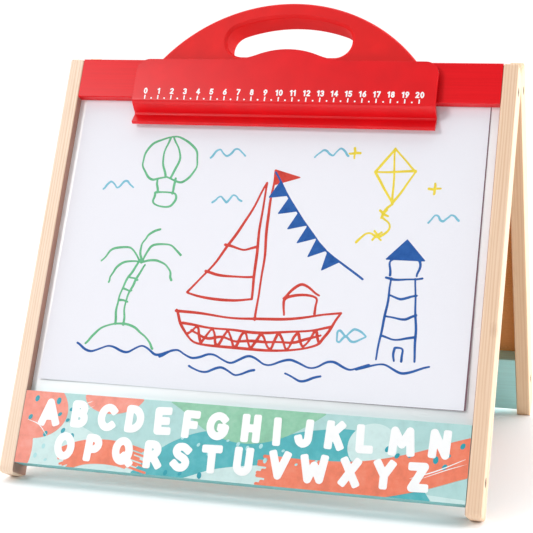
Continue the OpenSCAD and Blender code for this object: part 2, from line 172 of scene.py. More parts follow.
# ---------------------------------------------------------------- materials
def pine(name, rear=False, knots=(), tint=(1, 1, 1), seed=0.0, inner_shade_amount=0.0):
    m, nt, bs = new_mat(name)
    # fine fibres along the length, broader early and late wood, and a slow drift of tone
    fib = noise(nt, local(nt, (1.5, 1.5, 0.03), rear, (seed, 0, 0)), 1.0, 5, 0.62)
    ring = wave(nt, local(nt, (0.10, 0.14, 0.0035), rear, (seed * 0.3, 0, seed)), 1.6, 5.5, 3, 1.1)
    slow = noise(nt, local(nt, (0.03, 0.03, 0.011), rear, (seed, 3, 0)), 1.0, 3)
    light = srgb(249 * tint[0], 228 * tint[1], 205 * tint[2])
    mid = srgb(242 * tint[0], 213 * tint[1], 184 * tint[2])
    dark = srgb(226 * tint[0], 188 * tint[1], 150 * tint[2])
    c = ramp(nt, ring, [(0.05, light), (0.7, mid), (0.95, dark)])
    even = srgb(246 * tint[0], 220 * tint[1], 194 * tint[2])
    vary = noise(nt, local(nt, (0.09, 0.09, 0.006), rear, (seed, 5, 2)), 1.0, 2)
    c = mixc(nt, ramp(nt, vary, [(0.38, 0.8), (0.66, 0.2)]), c, even)
    c = mixc(nt, mth(nt, "MULTIPLY", ramp(nt, fib, [(0.42, 0.0), (0.72, 1.0)]), 0.35), c, dark)
    c = mixc(nt, mth(nt, "MULTIPLY", slow, 0.5), c, light)
    h = fib
    for (kx, ky, kz, rad) in knots:
        p = local(nt, (1, 1, 0.55), rear, (0, 0, 0))
        d = nt.nodes.new("ShaderNodeVectorMath")
        d.operation = "DISTANCE"
        nt.links.new(p, d.inputs[0])
        d.inputs[1].default_value = (kx, ky, kz * 0.55)
        wob = noise(nt, local(nt, (0.5, 0.5, 0.3), rear, (seed, 9, 0)), 1.0, 2)
        r = mth(nt, "ADD", d.outputs["Value"], mth(nt, "MULTIPLY", mth(nt, "SUBTRACT", wob, 0.5), rad))
        core = ramp(nt, mth(nt, "DIVIDE", r, rad * 2.2), [(0.18, 1.0), (0.42, 0.35), (0.85, 0.0)])
        c = mixc(nt, mth(nt, "MULTIPLY", core, 0.8), c, srgb(150, 98, 58))
    if inner_shade_amount:                                   # painted shade: the sides facing the board are darkened to pinkish brown where shade falls in the recess
        ax = mth(nt, "ABSOLUTE", sep(nt, local(nt, (1, 1, 1), rear))[0])
        inner_shade_mask = mth(nt, "MULTIPLY", mth(nt, "SUBTRACT", 155.0, ax), 2.5, clamp=True)
        c = mixc(nt, mth(nt, "MULTIPLY", inner_shade_mask, inner_shade_amount), c, srgb(156, 104, 90))
    put(nt, bs.inputs["Base Color"], c)
    put(nt, bs.inputs["Roughness"], ramp(nt, fib, [(0.2, 0.46), (0.8, 0.62)]))
    bs.inputs["Specular IOR Level"].default_value = 0.35
    bump(nt, bs, h, 0.28, 0.00025)
    return m


def painted(name, rgb, rear=False, along="x", rough=(0.38, 0.5), spec=0.3, streak=0.10, bump_s=0.22):
    """Paint over planed wood: the grain still telegraphs through as fine streaks."""
    m, nt, bs = new_mat(name)
    sc = (0.012, 1.1, 1.1) if along == "x" else (1.1, 1.1, 0.012)
    g = noise(nt, local(nt, sc, rear), 1.0, 5, 0.65)
    slow = noise(nt, local(nt, (0.02, 0.03, 0.03), rear, (7, 0, 0)), 1.0, 2)
    lift = [min(255, v * 1.04 + 5) for v in rgb]
    drop = [v * 0.93 for v in rgb]
    c = ramp(nt, g, [(0.3, srgb(*drop)), (0.5, srgb(*rgb)), (0.72, srgb(*lift))])
    c = mixc(nt, streak * 5, srgb(*rgb), c)
    c = mixc(nt, mth(nt, "MULTIPLY", slow, 0.25), c, srgb(*lift))
    put(nt, bs.inputs["Base Color"], c)
    put(nt, bs.inputs["Roughness"], ramp(nt, g, [(0.25, rough[0]), (0.75, rough[1])]))
    bs.inputs["Specular IOR Level"].default_value = spec
    orange = noise(nt, local(nt, (0.6, 0.6, 0.6), rear, (2, 2, 2)), 1.0, 2)
    bump(nt, bs, mth(nt, "ADD", g, mth(nt, "MULTIPLY", orange, 0.4)), bump_s, 0.00012)
    return m


def plastic(name, rgb, rough=0.34, spec=0.4, mottle=0.03, hole=False):
    """Moulded plastic: faint orange peel, slight mottling and a few handling rubs."""
    m, nt, bs = new_mat(name)
    n1 = noise(nt, local(nt, (0.05, 0.05, 0.05)), 1.0, 2)
    n2 = noise(nt, local(nt, (1.6, 1.6, 1.6)), 1.0, 3)
    lift = [min(255, v * 1.02 + 2) for v in rgb]
    drop = [v * (1 - mottle) for v in rgb]
    put(nt, bs.inputs["Base Color"], ramp(nt, n1, [(0.3, srgb(*drop)), (0.55, srgb(*rgb)), (0.75, srgb(*lift))]))
    rub = ramp(nt, noise(nt, local(nt, (0.03, 0.03, 0.03), move=(4, 4, 4)), 1.0, 2, 0.5), [(0.2, rough - 0.01), (0.8, rough + 0.02)])
    if hole:                                    # the wall of the grip hole is left dull
        x, y, z = sep(nt, local(nt, (1, 1, 1)))[:3]
        zz = mth(nt, "ADD", z, 75.08)
        r = mth(nt, "SQRT", mth(nt, "ADD", mth(nt, "MULTIPLY", x, x), mth(nt, "MULTIPLY", zz, zz)))
        wall = mth(nt, "MULTIPLY", mth(nt, "SUBTRACT", 9.6, mth(nt, "ABSOLUTE", mth(nt, "SUBTRACT", y, 12.75))), 1.5,
                   clamp=True)
        wall = mth(nt, "MULTIPLY", wall, mth(nt, "MULTIPLY", mth(nt, "SUBTRACT", 113.0, r), 1.0, clamp=True))
        rub = mth(nt, "ADD", rub, mth(nt, "MULTIPLY", wall, 0.3))
    put(nt, bs.inputs["Roughness"], rub)
    bs.inputs["Specular IOR Level"].default_value = spec
    bump(nt, bs, n2, 0.10, 0.00006)
    return m


def print_film(name, rgb, var=0.05, scale=0.12, streaks=False, rear=False):
    """Printed ink on coated film, with a paper-like watercolour mottle."""
    m, nt, bs = new_mat(name)
    v = local(nt, (scale, scale, scale) if not streaks else (scale * 0.25, 1, scale * 4), rear)
    n = noise(nt, v, 1.0, 5, 0.62)
    fine = noise(nt, local(nt, (1.3, 1.3, 1.3)), 1.0, 3)
    lift = [v_ + (255 - v_) * var * 2.2 for v_ in rgb]
    drop = [v_ * (1 - var) for v_ in rgb]
    c = ramp(nt, n, [(0.28, srgb(*drop)), (0.5, srgb(*rgb)), (0.74, srgb(*lift))])
    c = mixc(nt, mth(nt, "MULTIPLY", fine, 0.12), c, srgb(*lift))
    put(nt, bs.inputs["Base Color"], c)
    put(nt, bs.inputs["Roughness"], ramp(nt, fine, [(0.3, 0.36), (0.7, 0.46)]))
    bs.inputs["Specular IOR Level"].default_value = 0.35
    bump(nt, bs, fine, 0.05, 0.00004)
    return m


def ink(name, rgb, var=0.08):
    """Felt-tip ink soaking into paper: darker where the tip lingered. Also colours the painted shadow ribbon behind
    the sheet's edge.
    """
    m, nt, bs = new_mat(name)
    n = noise(nt, local(nt, (0.22, 1, 0.22)), 1.0, 4, 0.7)
    lift = [v_ + (255 - v_) * var for v_ in rgb]
    drop = [v_ * (1 - var) for v_ in rgb]
    put(nt, bs.inputs["Base Color"], ramp(nt, n, [(0.3, srgb(*drop)), (0.7, srgb(*lift))]))
    put(nt, bs.inputs["Roughness"], ramp(nt, n, [(0.3, 0.62), (0.7, 0.72)]))
    bs.inputs["Specular IOR Level"].default_value = 0.2
    return m


def metal(name, rgb, rough=(0.22, 0.4), scale=(0.7, 0.7, 0.7), rear=False):
    m, nt, bs = new_mat(name)
    n = noise(nt, local(nt, scale, rear), 1.0, 4, 0.6)
    put(nt, bs.inputs["Base Color"], ramp(nt, n, [(0.3, srgb(*[c * 0.9 for c in rgb])), (0.7, srgb(*rgb))]))
    bs.inputs["Metallic"].default_value = 1.0
    put(nt, bs.inputs["Roughness"], ramp(nt, n, [(0.3, rough[0]), (0.7, rough[1])]))
    bump(nt, bs, noise(nt, local(nt, (3, 3, 3), rear), 1.0, 2), 0.08, 0.00005)
    return m


def hardboard(name, rear=False):
    m, nt, bs = new_mat(name)
    a = noise(nt, local(nt, (0.9, 0.9, 0.9), rear), 1.0, 6, 0.75)
    b = noise(nt, local(nt, (0.35, 2.0, 3.2), rear, (5, 0, 0)), 1.0, 4, 0.7)
    c2 = noise(nt, local(nt, (0.02, 0.02, 0.02), rear), 1.0, 3)
    c = ramp(nt, a, [(0.3, srgb(174, 114, 62)), (0.5, srgb(214, 148, 86)), (0.72, srgb(236, 176, 116))])
    c = mixc(nt, mth(nt, "MULTIPLY", ramp(nt, b, [(0.5, 0.0), (0.75, 1.0)]), 0.4), c, srgb(232, 178, 124))
    c = mixc(nt, mth(nt, "MULTIPLY", c2, 0.3), c, srgb(178, 116, 64))
    put(nt, bs.inputs["Base Color"], c)
    put(nt, bs.inputs["Roughness"], ramp(nt, a, [(0.3, 0.7), (0.7, 0.85)]))
    bs.inputs["Specular IOR Level"].default_value = 0.2
    bump(nt, bs, a, 0.35, 0.0003)
    return m


def white_steel():
    m, nt, bs = new_mat("coated_steel")
    n = noise(nt, local(nt, (0.05, 1, 0.05)), 1.0, 4, 0.6)
    smear = noise(nt, local(nt, (0.02, 1, 0.16), move=(3, 0, 8)), 1.0, 4, 0.7)
    put(nt, bs.inputs["Base Color"], ramp(nt, n, [(0.3, srgb(252, 251, 253)), (0.7, srgb(254, 253, 254))]))
    put(nt, bs.inputs["Roughness"], ramp(nt, smear, [(0.4, 0.2), (0.7, 0.3)]))
    bs.inputs["Specular IOR Level"].default_value = 0.5
    bump(nt, bs, noise(nt, local(nt, (0.35, 0.35, 0.35)), 1.0, 2), 0.03, 0.00006)
    return m


def chalk():
    m, nt, bs = new_mat("chalk_surface")
    fine = noise(nt, local(nt, (2.2, 2.2, 2.2), True), 1.0, 4, 0.7)
    wipe = noise(nt, local(nt, (0.012, 0.05, 0.06), True, (2, 0, 1)), 1.0, 5, 0.7, 0.8)
    c = ramp(nt, fine, [(0.3, srgb(34, 38, 37)), (0.7, srgb(50, 54, 53))])
    c = mixc(nt, mth(nt, "MULTIPLY", ramp(nt, wipe, [(0.42, 0.0), (0.78, 1.0)]), 0.17), c, srgb(150, 154, 152))
    put(nt, bs.inputs["Base Color"], c)
    put(nt, bs.inputs["Roughness"], ramp(nt, fine, [(0.3, 0.78), (0.7, 0.92)]))
    bs.inputs["Specular IOR Level"].default_value = 0.2
    bump(nt, bs, fine, 0.3, 0.00015)
    return m


def paper_mat():
    m, nt, bs = new_mat("drawing_paper_white")
    f = noise(nt, local(nt, (1.8, 1.8, 1.8)), 1.0, 5, 0.7)
    s = noise(nt, local(nt, (0.008, 0.01, 0.012)), 1.0, 2)
    c = ramp(nt, f, [(0.3, srgb(238, 238, 245)), (0.7, srgb(243, 243, 249))])
    c = mixc(nt, mth(nt, "MULTIPLY", s, 0.4), c, srgb(236, 236, 244))
    put(nt, bs.inputs["Base Color"], c)
    put(nt, bs.inputs["Roughness"], ramp(nt, f, [(0.3, 0.8), (0.7, 0.9)]))
    bs.inputs["Specular IOR Level"].default_value = 0.15
    bump(nt, bs, f, 0.12, 0.00008)
    return m


def rubber():
    m, nt, bs = new_mat("grip_rubber")
    f = noise(nt, local(nt, (1.5, 1.5, 1.5)), 1.0, 4, 0.6)
    put(nt, bs.inputs["Base Color"], ramp(nt, f, [(0.3, srgb(48, 48, 52)), (0.7, srgb(64, 64, 68))]))
    put(nt, bs.inputs["Roughness"], ramp(nt, f, [(0.3, 0.72), (0.7, 0.86)]))
    bump(nt, bs, f, 0.2, 0.0001)
    return m


RED = (226, 3, 18)
# the front stiles carry painted shade on their sides facing the board
PINE_F = pine("pine_front", seed=1.7, tint=(1.005, 1.0, 1.01), inner_shade_amount=0.85)
PINE_FR = pine("pine_front_right", seed=5.1, tint=(0.97, 0.93, 0.9), knots=[(163.0, 3.0, -187.0, 2.4)], inner_shade_amount=0.85)
PINE_R = pine("pine_rear", rear=True, seed=3.3, tint=(0.98, 0.94, 0.88))
PINE_RR = pine("pine_rear_right", rear=True, seed=8.4, tint=(0.98, 0.94, 0.88))
M_RAIL = painted("red_rail_paint", RED, rough=(0.28, 0.38), spec=0.3)
M_RAIL_R = painted("red_rear_rail_paint", (212, 20, 28), rear=True, rough=(0.4, 0.52), spec=0.3)
M_TEAL = painted("teal_paint", (128, 196, 196), rough=(0.4, 0.55))
M_TEAL_R = painted("teal_rear_paint", (174, 230, 229), rear=True, rough=(0.4, 0.55))
M_HANDLE = plastic("handle_lacquer", (226, 8, 10), 0.46, 0.3, hole=True)
M_CLIP = plastic("clip_plastic", (226, 3, 16), 0.3, 0.42)
M_STEELSHEET = white_steel()
M_HARD_F = hardboard("hardboard_front")
M_HARD_R = hardboard("hardboard_rear", True)
M_CHALK = chalk()
M_PAPER = paper_mat()
M_ZINC = metal("zinc", (205, 206, 210))
M_ZINC_R = metal("zinc_rear", (205, 206, 210), rear=True)
M_RUBBER = rubber()
M_WHITE = print_film("white_print_ink", (250, 250, 250), 0.02)
M_SCREW = metal("burnished_screw", (120, 98, 72), (0.38, 0.55))
M_SCREW_R = metal("burnished_screw_rear", (120, 98, 72), (0.38, 0.55), rear=True)

cad_mats = {
    "front_left_stile": PINE_F, "front_right_stile": PINE_FR,
    "rear_left_stile": PINE_R, "rear_right_stile": PINE_RR,
    "front_top_rail": M_RAIL, "alphabet_rail": M_TEAL, "rear_top_rail": M_RAIL_R,
    "rear_bottom_rail": M_TEAL_R, "front_backing_board": M_HARD_F,
    "rear_backing_board": M_HARD_R, "steel_whiteboard_sheet": M_STEELSHEET,
    "chalkboard_sheet": M_CHALK, "drawing_paper": M_PAPER, "carry_handle": M_HANDLE,
    "ruler_clip": M_CLIP, "ruler_marks": M_WHITE, "clip_grip_pad": M_RUBBER,
    "front_frame_screws": M_SCREW, "rear_frame_screws": M_SCREW_R,
    "alphabet_panel": print_film("panel_ground", (176, 216, 214), 0.05),
}
for name, ob in nodes.items():
    mat = cad_mats.get(name, M_ZINC_R if "rear" in name else M_ZINC)
    if not ob.material_slots:
        ob.data.materials.append(mat)
    for s in ob.material_slots:
        s.link = "OBJECT"
        s.material = mat


# ---------------------------------------------------------------- mesh helpers
def add_mesh(name, verts, faces, mat, body, smooth=False, place=M_FRONT):
    me = bpy.data.meshes.new(name)
    me.from_pydata([tuple(v) for v in verts], [], [tuple(f) for f in faces])
    me.update()
    me.transform(place)
    ob = bpy.data.objects.new(name, me)
    scene.collection.objects.link(ob)
    ob.data.materials.append(mat)
    if smooth:
        me.polygons.foreach_set("use_smooth", [True] * len(me.polygons))
    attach(ob, body)
    return ob


def apply_mods(ob):
    """Bakes the modifiers into the mesh."""
    dg = bpy.context.evaluated_depsgraph_get()
    me = bpy.data.meshes.new_from_object(ob.evaluated_get(dg))
    ob.modifiers.clear()
    ob.data = me
    return ob


def flat_faces(ob, deg):
    """Smooth edges that leave the flat faces flat."""
    ob.data.polygons.foreach_set("use_smooth", [True] * len(ob.data.polygons))
    ob.data.set_sharp_from_angle(angle=math.radians(deg))
    w = ob.modifiers.new("weights", "WEIGHTED_NORMAL")
    w.keep_sharp = True
    w.weight = 100
    apply_mods(ob)


def contour(sdf, x0, x1, y0, y1, h):
    """Flat mesh of the region where sdf < 0, with edges cut to the zero line."""
    xs = np.arange(x0, x1 + h, h)
    ys = np.arange(y0, y1 + h, h)
    X, Y = np.meshgrid(xs, ys, indexing="ij")
    S = sdf(X, Y)
    S = np.where(np.abs(S) < 1e-6, 1e-6, S)
    ins = S < 0
    cell = ins[:-1, :-1] | ins[1:, :-1] | ins[1:, 1:] | ins[:-1, 1:]
    pts, faces, key = [], [], {}

    def vid(k, p):
        if k not in key:
            key[k] = len(pts)
            pts.append(p)
        return key[k]

    for i, j in zip(*np.nonzero(cell)):
        cs = [(i, j), (i + 1, j), (i + 1, j + 1), (i, j + 1)]
        poly = []
        for a in range(4):
            p, q = cs[a], cs[(a + 1) % 4]
            sp, sq = S[p], S[q]
            if sp < 0:
                poly.append(vid(p, (xs[p[0]], ys[p[1]])))
            if (sp < 0) != (sq < 0):
                t = sp / (sp - sq)
                k = (p, q) if p < q else (q, p)
                poly.append(vid(k, (xs[p[0]] + t * (xs[q[0]] - xs[p[0]]), ys[p[1]] + t * (ys[q[1]] - ys[p[1]]))))
        if len(poly) >= 3:
            faces.append(poly)
    return pts, faces


def relief(pts, faces, lift):
    """Closes the flat mesh down its rim. lift(x, y, top) gives the 3-D point on the top or at the foot of the rim."""
    verts = [lift(x, y, True) for x, y in pts]
    dirs = set()
    for f in faces:
        for a in range(len(f)):
            dirs.add((f[a], f[(a + 1) % len(f)]))
    low, walls = {}, []
    for a, b in dirs:
        if (b, a) not in dirs:
            for v in (a, b):
                if v not in low:
                    low[v] = len(verts)
                    verts.append(lift(pts[v][0], pts[v][1], False))
            walls.append((b, a, low[a], low[b]))
    return verts, list(faces) + walls


def seg_field(X, Y, pts, w, closed=False):
    """Distance to a stroke of width w (one number, or one per point), less half its width."""
    P = np.asarray(pts, float)
    if closed:
        P = np.vstack([P, P[:1]])
    W = np.full(len(P), float(w)) if np.isscalar(w) else np.asarray(w, float)
    D = np.full(X.shape, 1e3)
    for k in range(len(P) - 1):
        a, b = P[k], P[k + 1]
        r = max(W[k], W[k + 1]) + 2.0
        i0 = np.searchsorted(X[:, 0], min(a[0], b[0]) - r)
        i1 = np.searchsorted(X[:, 0], max(a[0], b[0]) + r)
        j0 = np.searchsorted(Y[0], min(a[1], b[1]) - r)
        j1 = np.searchsorted(Y[0], max(a[1], b[1]) + r)
        if i1 <= i0 or j1 <= j0:
            continue
        x, y = X[i0:i1, j0:j1], Y[i0:i1, j0:j1]
        d = b - a
        L = max(d @ d, 1e-9)
        t = np.clip(((x - a[0]) * d[0] + (y - a[1]) * d[1]) / L, 0, 1)
        dist = np.hypot(x - a[0] - t * d[0], y - a[1] - t * d[1]) - (W[k] + t * (W[k + 1] - W[k])) / 2
        D[i0:i1, j0:j1] = np.minimum(D[i0:i1, j0:j1], dist)
    return D


def arc(cx, cy, rx, ry, a0, a1, n=14):
    return [(cx + rx * math.cos(math.radians(a0 + (a1 - a0) * i / n)),
             cy + ry * math.sin(math.radians(a0 + (a1 - a0) * i / n))) for i in range(n + 1)]


def spline(pts, closed=False, n=8):
    """Catmull-Rom curve through the points."""
    P = [np.array(p, float) for p in pts]
    if closed:
        P = [P[-1]] + P + [P[0], P[1]]
    else:
        P = [2 * P[0] - P[1]] + P + [2 * P[-1] - P[-2]]
    out = []
    for i in range(1, len(P) - 2):
        a, b, c, d = P[i - 1], P[i], P[i + 1], P[i + 2]
        for k in range(n):
            t = k / n
            out.append(0.5 * (2 * b + (c - a) * t + (2 * a - 5 * b + 4 * c - d) * t * t
                              + (3 * b - a - 3 * c + d) * t ** 3))
    if not closed:
        out.append(P[-2])
    return [tuple(p) for p in out]


# ---------------------------------------------------------------- plain capitals and figures, drawn as strokes
LETTERS = {
    "A": (0.74, [[(0, 0), (0.37, 1), (0.74, 0)], [(0.16, 0.30), (0.58, 0.30)]]),
    "B": (0.52, [[(0, 0), (0, 1), (0.24, 1)] + arc(0.24, 0.77, 0.24, 0.23, 90, -90, 8)
                 + [(0, 0.54), (0.26, 0.54)] + arc(0.26, 0.27, 0.26, 0.27, 90, -90, 8) + [(0, 0)]]),
    "C": (0.62, [arc(0.36, 0.5, 0.36, 0.5, 48, 312, 20)]),
    "D": (0.60, [[(0, 0), (0, 1), (0.16, 1)] + arc(0.16, 0.5, 0.44, 0.5, 90, -90, 14) + [(0, 0)]]),
    "E": (0.50, [[(0.50, 1), (0, 1), (0, 0), (0.50, 0)], [(0, 0.5), (0.42, 0.5)]]),
    "F": (0.48, [[(0.48, 1), (0, 1), (0, 0)], [(0, 0.48), (0.40, 0.48)]]),
    "G": (0.78, [arc(0.40, 0.5, 0.40, 0.5, 48, 330, 20) + [(0.78, 0.44), (0.56, 0.44)]]),
    "H": (0.58, [[(0, 0), (0, 1)], [(0.58, 0), (0.58, 1)], [(0, 0.5), (0.58, 0.5)]]),
    "I": (0.02, [[(0, 0), (0, 1)]]),
    "J": (0.48, [[(0.48, 1), (0.48, 0.28)] + arc(0.24, 0.28, 0.24, 0.28, 0, -165, 10)]),
    "K": (0.56, [[(0, 0), (0, 1)], [(0.54, 1), (0.06, 0.46)], [(0.22, 0.60), (0.56, 0)]]),
    "L": (0.46, [[(0, 1), (0, 0), (0.46, 0)]]),
    "M": (0.88, [[(0, 0), (0.08, 1), (0.44, 0.36), (0.80, 1), (0.88, 0)]]),
    "N": (0.62, [[(0, 0), (0, 1), (0.62, 0), (0.62, 1)]]),
    "O": (0.70, [arc(0.35, 0.5, 0.35, 0.5, 0, 360, 24)]),
    "P": (0.50, [[(0, 0), (0, 1), (0.24, 1)] + arc(0.24, 0.72, 0.26, 0.28, 90, -90, 10) + [(0, 0.44)]]),
    "Q": (0.72, [arc(0.35, 0.5, 0.35, 0.5, 0, 360, 24), [(0.44, 0.24), (0.74, -0.06)]]),
    "R": (0.54, [[(0, 0), (0, 1), (0.24, 1)] + arc(0.24, 0.74, 0.26, 0.26, 90, -90, 10) + [(0, 0.48)],
                 [(0.24, 0.46), (0.56, 0)]]),
    "S": (0.60, [spline([(0.58, 0.88), (0.38, 1.0), (0.12, 0.97), (0.02, 0.78), (0.14, 0.59), (0.46, 0.43),
                         (0.58, 0.24), (0.46, 0.02), (0.20, -0.01), (0.0, 0.13)], n=5)]),
    "T": (0.66, [[(0, 1), (0.66, 1)], [(0.33, 1), (0.33, 0)]]),
    "U": (0.58, [[(0, 1), (0, 0.29)] + arc(0.29, 0.29, 0.29, 0.29, 180, 360, 12) + [(0.58, 1)]]),
    "V": (0.70, [[(0, 1), (0.35, 0), (0.70, 1)]]),
    "W": (0.98, [[(0, 1), (0.20, 0), (0.49, 0.66), (0.78, 0), (0.98, 1)]]),
    "X": (0.60, [[(0, 0), (0.60, 1)], [(0, 1), (0.60, 0)]]),
    "Y": (0.66, [[(0, 1), (0.33, 0.46), (0.66, 1)], [(0.33, 0.46), (0.33, 0)]]),
    "Z": (0.58, [[(0, 1), (0.58, 1), (0, 0), (0.60, 0)]]),
    "0": (0.50, [arc(0.25, 0.5, 0.25, 0.5, 0, 360, 20)]),
    "1": (0.26, [[(0, 0.80), (0.24, 1), (0.24, 0)]]),
    "2": (0.50, [arc(0.25, 0.74, 0.25, 0.26, 160, -20, 10) + [(0, 0), (0.52, 0)]]),
    "3": (0.48, [arc(0.22, 0.75, 0.24, 0.25, 150, -80, 10) + arc(0.22, 0.26, 0.26, 0.27, 85, -150, 10)]),
    "4": (0.54, [[(0.38, 0), (0.38, 1), (0, 0.30), (0.56, 0.30)]]),
    "5": (0.48, [[(0.46, 1), (0.06, 1), (0.03, 0.56)] + arc(0.21, 0.32, 0.27, 0.31, 110, -150, 12)]),
    "6": (0.50, [[(0.40, 1.0), (0.12, 0.66)] + arc(0.25, 0.30, 0.25, 0.30, 150, -210, 18)]),
    "7": (0.50, [[(0, 1), (0.52, 1), (0.18, 0)]]),
    "8": (0.48, [arc(0.24, 0.76, 0.20, 0.24, -90, 270, 14), arc(0.24, 0.27, 0.24, 0.27, -90, 270, 14)]),
    "9": (0.50, [arc(0.25, 0.70, 0.25, 0.30, -30, 330, 18) + [(0.14, 0.0)]]),
}


def glyph_field(text, height, stroke, gap):
    """Skeletons of a short text centred on the origin."""
    k = height - stroke
    total = sum(LETTERS[c][0] * k for c in text) + (len(text) - 1) * gap
    x = -total / 2
    strokes = []
    for c in text:
        w, paths = LETTERS[c]
        for p in paths:
            strokes.append([(x + a * k, (b - 0.5) * k) for a, b in p])
        x += w * k + gap
    return strokes, total / 2 + stroke


def block(X, Y, p, t, w):
    """Distance to a square block of side w with softened corners, turned along t."""
    r = w * 0.26
    u = np.abs((X - p[0]) * t[0] + (Y - p[1]) * t[1]) - (w / 2 - r)
    v = np.abs(-(X - p[0]) * t[1] + (Y - p[1]) * t[0]) - (w / 2 - r)
    return np.hypot(np.maximum(u, 0), np.maximum(v, 0)) + np.minimum(np.maximum(u, v), 0) - r


def blocks_of(s):
    """Where a stroke is squared off: its free ends and its sharp corners."""
    P = []
    for p in s:
        if not P or math.hypot(p[0] - P[-1][0], p[1] - P[-1][1]) > 1e-4:
            P.append(np.array(p, float))
    out = []
    if np.linalg.norm(P[0] - P[-1]) > 1e-6:
        out += [(P[0], P[1] - P[0], 1.0), (P[-1], P[-1] - P[-2], 1.0)]
    for a, b, c in zip(P, P[1:], P[2:]):
        t, u = b - a, c - b
        co = (t @ u) / max(np.linalg.norm(t) * np.linalg.norm(u), 1e-9)
        if co < 0.5:
            out += [(b, t, 0.84), (b, u, 0.84)]
    if np.linalg.norm(P[0] - P[-1]) <= 1e-6 and len(P) > 4:
        t, u = P[-1] - P[-2], P[1] - P[0]
        if (t @ u) / max(np.linalg.norm(t) * np.linalg.norm(u), 1e-9) < 0.5:
            out += [(P[0], t, 0.92), (P[0], u, 0.92)]
    return [(p, t / max(np.linalg.norm(t), 1e-9), k) for p, t, k in out]


def draw_text(items, height, stroke, gap, h, lift_of):
    """items: (text, x, y, tilt in degrees, size). Returns one mesh of all the characters."""
    verts, faces = [], []
    for text, cx, cy, tilt, size in items:
        strokes, half = glyph_field(text, height * size, stroke * size, gap * size)
        ca, sa = math.cos(math.radians(tilt)), math.sin(math.radians(tilt))
        turned = [[(cx + a * ca - b * sa, cy + a * sa + b * ca) for a, b in s] for s in strokes]
        r = max(half, height * size * 0.6) + 1.0

        def field(X, Y):
            D = np.full(X.shape, 1e3)
            for s in turned:
                D = np.minimum(D, seg_field(X, Y, s, stroke * size))
                for p, t, k in blocks_of(s):
                    D = np.minimum(D, block(X, Y, p, t, stroke * size * k))
            return D
        pts, fs = contour(field, cx - r, cx + r, cy - r, cy + r, h)
        v, f = relief(pts, fs, lift_of)
        n = len(verts)
        verts += v
        faces += [[i + n for i in q] for q in f]
    return verts, faces


# ---------------------------------------------------------------- carry handle
ARC_R, ARC_C = 121.46, 75.08
HOLE_HALF, HOLE_R, HOLE_C = 34.0, 12.4, 16.7
HOLE_TOP = math.hypot(HOLE_HALF, HOLE_C + ARC_C) + HOLE_R


def handle_outer(delta, base=-2.2, n=96):
    r = ARC_R - delta
    b = base
    half = math.degrees(math.acos((ARC_C + b) / r))
    pts = [(r * math.sin(math.radians(a)), -ARC_C + r * math.cos(math.radians(a)))
           for a in np.linspace(-half, half, n + 1)]
    xe = pts[-1][0]
    for k in range(1, 24):
        pts.append((xe - 2 * xe * k / 24, b))
    return pts


def handle_hole(delta):
    r, top, c = HOLE_R + delta, HOLE_TOP + delta, HOLE_C
    phi = math.degrees(math.atan2(HOLE_HALF, c + ARC_C))
    pts = []
    for a in np.linspace(-phi, phi, 49):
        pts.append((top * math.sin(math.radians(a)), -ARC_C + top * math.cos(math.radians(a))))
    for a in np.linspace(90 - phi, -90, 22)[1:]:
        pts.append((HOLE_HALF + r * math.cos(math.radians(a)), c + r * math.sin(math.radians(a))))
    for x in np.linspace(HOLE_HALF, -HOLE_HALF, 26)[1:]:
        pts.append((x, c - r))
    for a in np.linspace(270, 90 + phi, 22)[1:-1]:
        pts.append((-HOLE_HALF + r * math.cos(math.radians(a)), c + r * math.sin(math.radians(a))))
    return pts


def build_handle():
    import bmesh
    bm = bmesh.new()
    d0, d1 = 1.5, 24.0
    ro, rh, n = 2.0, 2.2, 7

    def rings(fn, r, front_to_back):
        out = []
        if front_to_back:                       # round
            steps = [(r * (1 - math.cos(math.pi / 2 * k / n)), d0 + r * (1 - math.sin(math.pi / 2 * k / n)))
                     for k in range(n, -1, -1)]
        else:                                   # flat flare with eased edges
            steps = [(r * a, d0 + r * b) for a, b in ((1.0, 0.0), (0.93, 0.02), (0.85, 0.09), (0.78, 0.18), (0.20, 0.76),
                                                      (0.10, 0.87), (0.03, 0.95), (0.0, 1.06))]
        # from the face towards the wall
        for off, d in steps + [(off, d0 + d1 - d) for off, d in reversed(steps)]:
            out.append([bm.verts.new((x, d, y)) for x, y in fn(off)])
        return out

    def outer_fn(off):
        return handle_outer(off)

    def hole_fn(off):
        return handle_hole(off)
    # offset r at the face, zero on the wall
    ro_r = rings(lambda off: outer_fn(off), ro, True)
    rh_r = rings(lambda off: hole_fn(off), rh, False)
    for rr, flip in ((ro_r, False), (rh_r, True)):
        for a, b in zip(rr, rr[1:]):
            m = len(a)
            for i in range(m):
                q = [a[i], a[(i + 1) % m], b[(i + 1) % m], b[i]]
                bm.faces.new(q if not flip else q[::-1])
    bm.edges.ensure_lookup_table()
    for k in (0, -1):
        es = []
        for ring in (ro_r[k], rh_r[k]):
            m = len(ring)
            for i in range(m):
                e = bm.edges.get((ring[i], ring[(i + 1) % m]))
                es.append(e)
        bmesh.ops.triangle_fill(bm, use_beauty=True, use_dissolve=False, edges=es)
    bmesh.ops.recalc_face_normals(bm, faces=bm.faces)
    me = bpy.data.meshes.new("handle_body")
    bm.to_mesh(me)
    bm.free()
    me.transform(Matrix.Scale(MM, 4))
    me.transform(M_FRONT)
    ob = bpy.data.objects.new("handle_body", me)
    scene.collection.objects.link(ob)
    me.materials.append(M_HANDLE)
    flat_faces(ob, 50)
    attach(ob, "front_frame")
    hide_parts("carry_handle")
    return ob


handle = build_handle()

# ---------------------------------------------------------------- ruler clip
CLIP_HALF, CLIP_CORNER, CLIP_TOP, CLIP_D, CLIP_T = 110.5, 9.5, 1.75, -5.5, 2.5
CLIP_X, HUMP_X = 1.1, 1.4
HUMP_H, HUMP_HALF = 8.5, 44.0
PLATE_END, LIP_D = 33.0, 1.2
BOARD_D = 7.0


